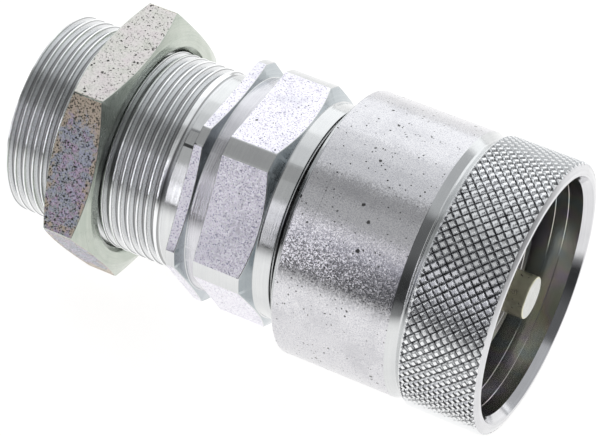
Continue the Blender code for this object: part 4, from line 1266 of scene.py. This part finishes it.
CAMERA_AZIMUTH = math.radians(28.3)
CAMERA_ELEVATION = math.radians(46.9)
CAMERA_DISTANCE = 0.5109
CAMERA_LENS = 154.8
AIM_STATION = 56.23
AIM_LEFT = 0.089 * MM
AIM_DOWN = 2.02 * MM
PANEL_DISTANCE = 0.8
COOL = (0.97, 0.96, 1.0)
BLUISH = (0.88, 0.88, 1.0)
NEUTRAL = (0.99, 1.0, 1.0)
PANELS = (
    ("low_left_panel", (3, 27), (-0.342, -0.267), 1.95, COOL),
    ("low_right_panel", (3, 15), (-0.267, 0.3), 0.03, BLUISH),
    ("middle_right_panel", (15, 27), (-0.267, 0.3), 0.11, BLUISH),
    ("front_left_panel", (27, 47), (-0.342, -0.255), 1.45, COOL),
    ("far_left_panel", (3, 47), (-0.475, -0.40), 1.7, COOL),
    ("front_right_panel", (27, 38), (-0.255, 0.3), 0.37, BLUISH),
    ("upper_right_panel", (38, 50), (-0.255, 0.3), 0.62, COOL),
    ("gap_left_panel", (47, 70), (-0.43, -0.255), 0.47, NEUTRAL),
    ("gap_right_panel", (50, 70), (-0.255, 0.3), 0.46, NEUTRAL),
    ("gap_top_panel", (70, 93), (-0.43, 0.3), 0.34, NEUTRAL),
    ("top_panel", (93, 110), (-0.45, 0.3), 0.22, NEUTRAL),
    ("high_back_panel", (110, 128), (-0.6, 0.35), 0.38, NEUTRAL),
    ("middle_back_panel", (128, 153), (-0.95, 0.35), 0.68, NEUTRAL),
    ("low_back_panel", (153, 178), (-0.95, 0.35), 0.74, NEUTRAL),
)
DARK_ROOM = 0.04
LIT_ROOM = 0.55
ROOM_COLOUR = (0.96, 0.98, 1.0)
ROOM_LEFT = (-0.75, -0.9)
ROOM_BEHIND = (-0.08, 0.05)
ROOM_RIGHT = (0.5, 0.65)
ROOM_HIGH = (0.25, 0.5)
ROOM_RIGHT_GLOW = 0.2
FLOOR_HALF = 3
FLOOR_COLOUR = (1.0, 0.995, 0.985)
FLOOR_FADE = (0.13, 0.45)
FLOOR_RIGHT = (0.11, 0.18)
FLOOR_BEHIND = (0.05, 0.3)
FLOOR_GLOW = 0.88
FLOOR_EDGE_GLOW = 0.30
FLOOR_BACK_GLOW = 0.75
FLOOR_RIGHT_SHARE = 0.05


def direction(azimuth, elevation):
    return Vector(
        (
            math.sin(azimuth) * math.cos(elevation),
            -math.cos(azimuth) * math.cos(elevation),
            math.sin(elevation),
        )
    )


def add_camera():
    data = bpy.data.cameras.new("camera")
    data.lens = CAMERA_LENS
    data.clip_start = 0.05
    data.clip_end = 10
    camera = add_object("camera", data)
    back = direction(CAMERA_AZIMUTH, CAMERA_ELEVATION)
    turn = (-back).to_track_quat("-Z", "Y")
    right = turn @ Vector((1, 0, 0))
    up = turn @ Vector((0, 1, 0))
    aim = place(AIM_STATION, 0, 0)
    camera.location = aim + back * CAMERA_DISTANCE - right * AIM_LEFT - up * AIM_DOWN
    camera.rotation_euler = turn.to_euler()
    bpy.context.scene.camera = camera


def add_panel(name, elevations, sides, radiance, colour):
    """A soft panel that fills a range of elevations above the front's horizon."""
    low, high = (math.radians(angle) for angle in elevations)
    middle = (low + high) / 2
    data = bpy.data.lights.new(name, "AREA")
    data.shape = "RECTANGLE"
    data.size = sides[1] - sides[0]
    data.size_y = 2 * PANEL_DISTANCE * math.sin((high - low) / 2)
    data.energy = radiance * math.pi * data.size * data.size_y
    data.color = colour
    light = add_object(name, data)
    away = Vector((0, -math.cos(middle), math.sin(middle)))
    light.location = away * PANEL_DISTANCE * math.cos((high - low) / 2)
    light.location += Vector(((sides[0] + sides[1]) / 2, 0, AXIS_HEIGHT))
    light.rotation_euler = away.to_track_quat("Z", "Y").to_euler()


def add_floor():
    material, tree, shader = new_finish("pale_floor", 0.0, 0.6, (0.35, 0.35, 0.35))
    here = add_node(tree, "ShaderNodeTexCoord").outputs["Object"]
    away = vector_math(tree, "LENGTH", {0: here})
    glow = spread(tree, away, *FLOOR_FADE, FLOOR_GLOW, FLOOR_EDGE_GLOW)
    split = add_node(tree, "ShaderNodeSeparateXYZ", {0: here})
    right = spread(tree, split.outputs["X"], *FLOOR_RIGHT, 1.0, FLOOR_RIGHT_SHARE)
    behind = spread(tree, split.outputs["Y"], *FLOOR_BEHIND, 0.0, FLOOR_BACK_GLOW)
    glow = calculate(tree, "MAXIMUM", calculate(tree, "MULTIPLY", glow, right), behind)
    shader.inputs["Emission Color"].default_value = (*FLOOR_COLOUR, 1)
    tree.links.new(glow, shader.inputs["Emission Strength"])
    mesh = bpy.data.meshes.new("floor")
    shape = bmesh.new()
    bmesh.ops.create_grid(shape, x_segments=1, y_segments=1, size=FLOOR_HALF)
    shape.to_mesh(mesh)
    shape.free()
    mesh.materials.append(material)
    floor = add_object("floor", mesh)
    floor.location = (0, 0, CAD_BOX[0].z)


def add_world():
    """A room that is light far left and behind, dark in front, with a dim glow high right."""
    world = bpy.data.worlds.new("studio")
    world.use_nodes = True
    tree = world.node_tree
    towards = add_node(tree, "ShaderNodeTexCoord").outputs["Generated"]
    split = add_node(tree, "ShaderNodeSeparateXYZ", {0: towards})
    left = spread(tree, split.outputs["X"], *ROOM_LEFT, 0.0, 1.0)
    behind = spread(tree, split.outputs["Y"], *ROOM_BEHIND, 0.0, 1.0)
    right = spread(tree, split.outputs["X"], *ROOM_RIGHT, 0.0, ROOM_RIGHT_GLOW)
    high = spread(tree, split.outputs["Z"], *ROOM_HIGH, 0.0, 1.0)
    lit = calculate(tree, "MAXIMUM", left, behind)
    lit = calculate(tree, "MAXIMUM", lit, calculate(tree, "MULTIPLY", right, high))
    background = tree.nodes["Background"]
    background.inputs["Color"].default_value = (*ROOM_COLOUR, 1)
    tree.links.new(spread(tree, lit, 0.0, 1.0, DARK_ROOM, LIT_ROOM), background.inputs["Strength"])
    bpy.context.scene.world = world


add_camera()
build_body()
build_locknut()
build_sleeve()
build_nose()
build_pin()
build_spring()
dress_cad_nodes()
add_floor()
add_world()
for panel in PANELS:
    add_panel(*panel)
bpy.context.scene.view_settings.view_transform = "Standard"
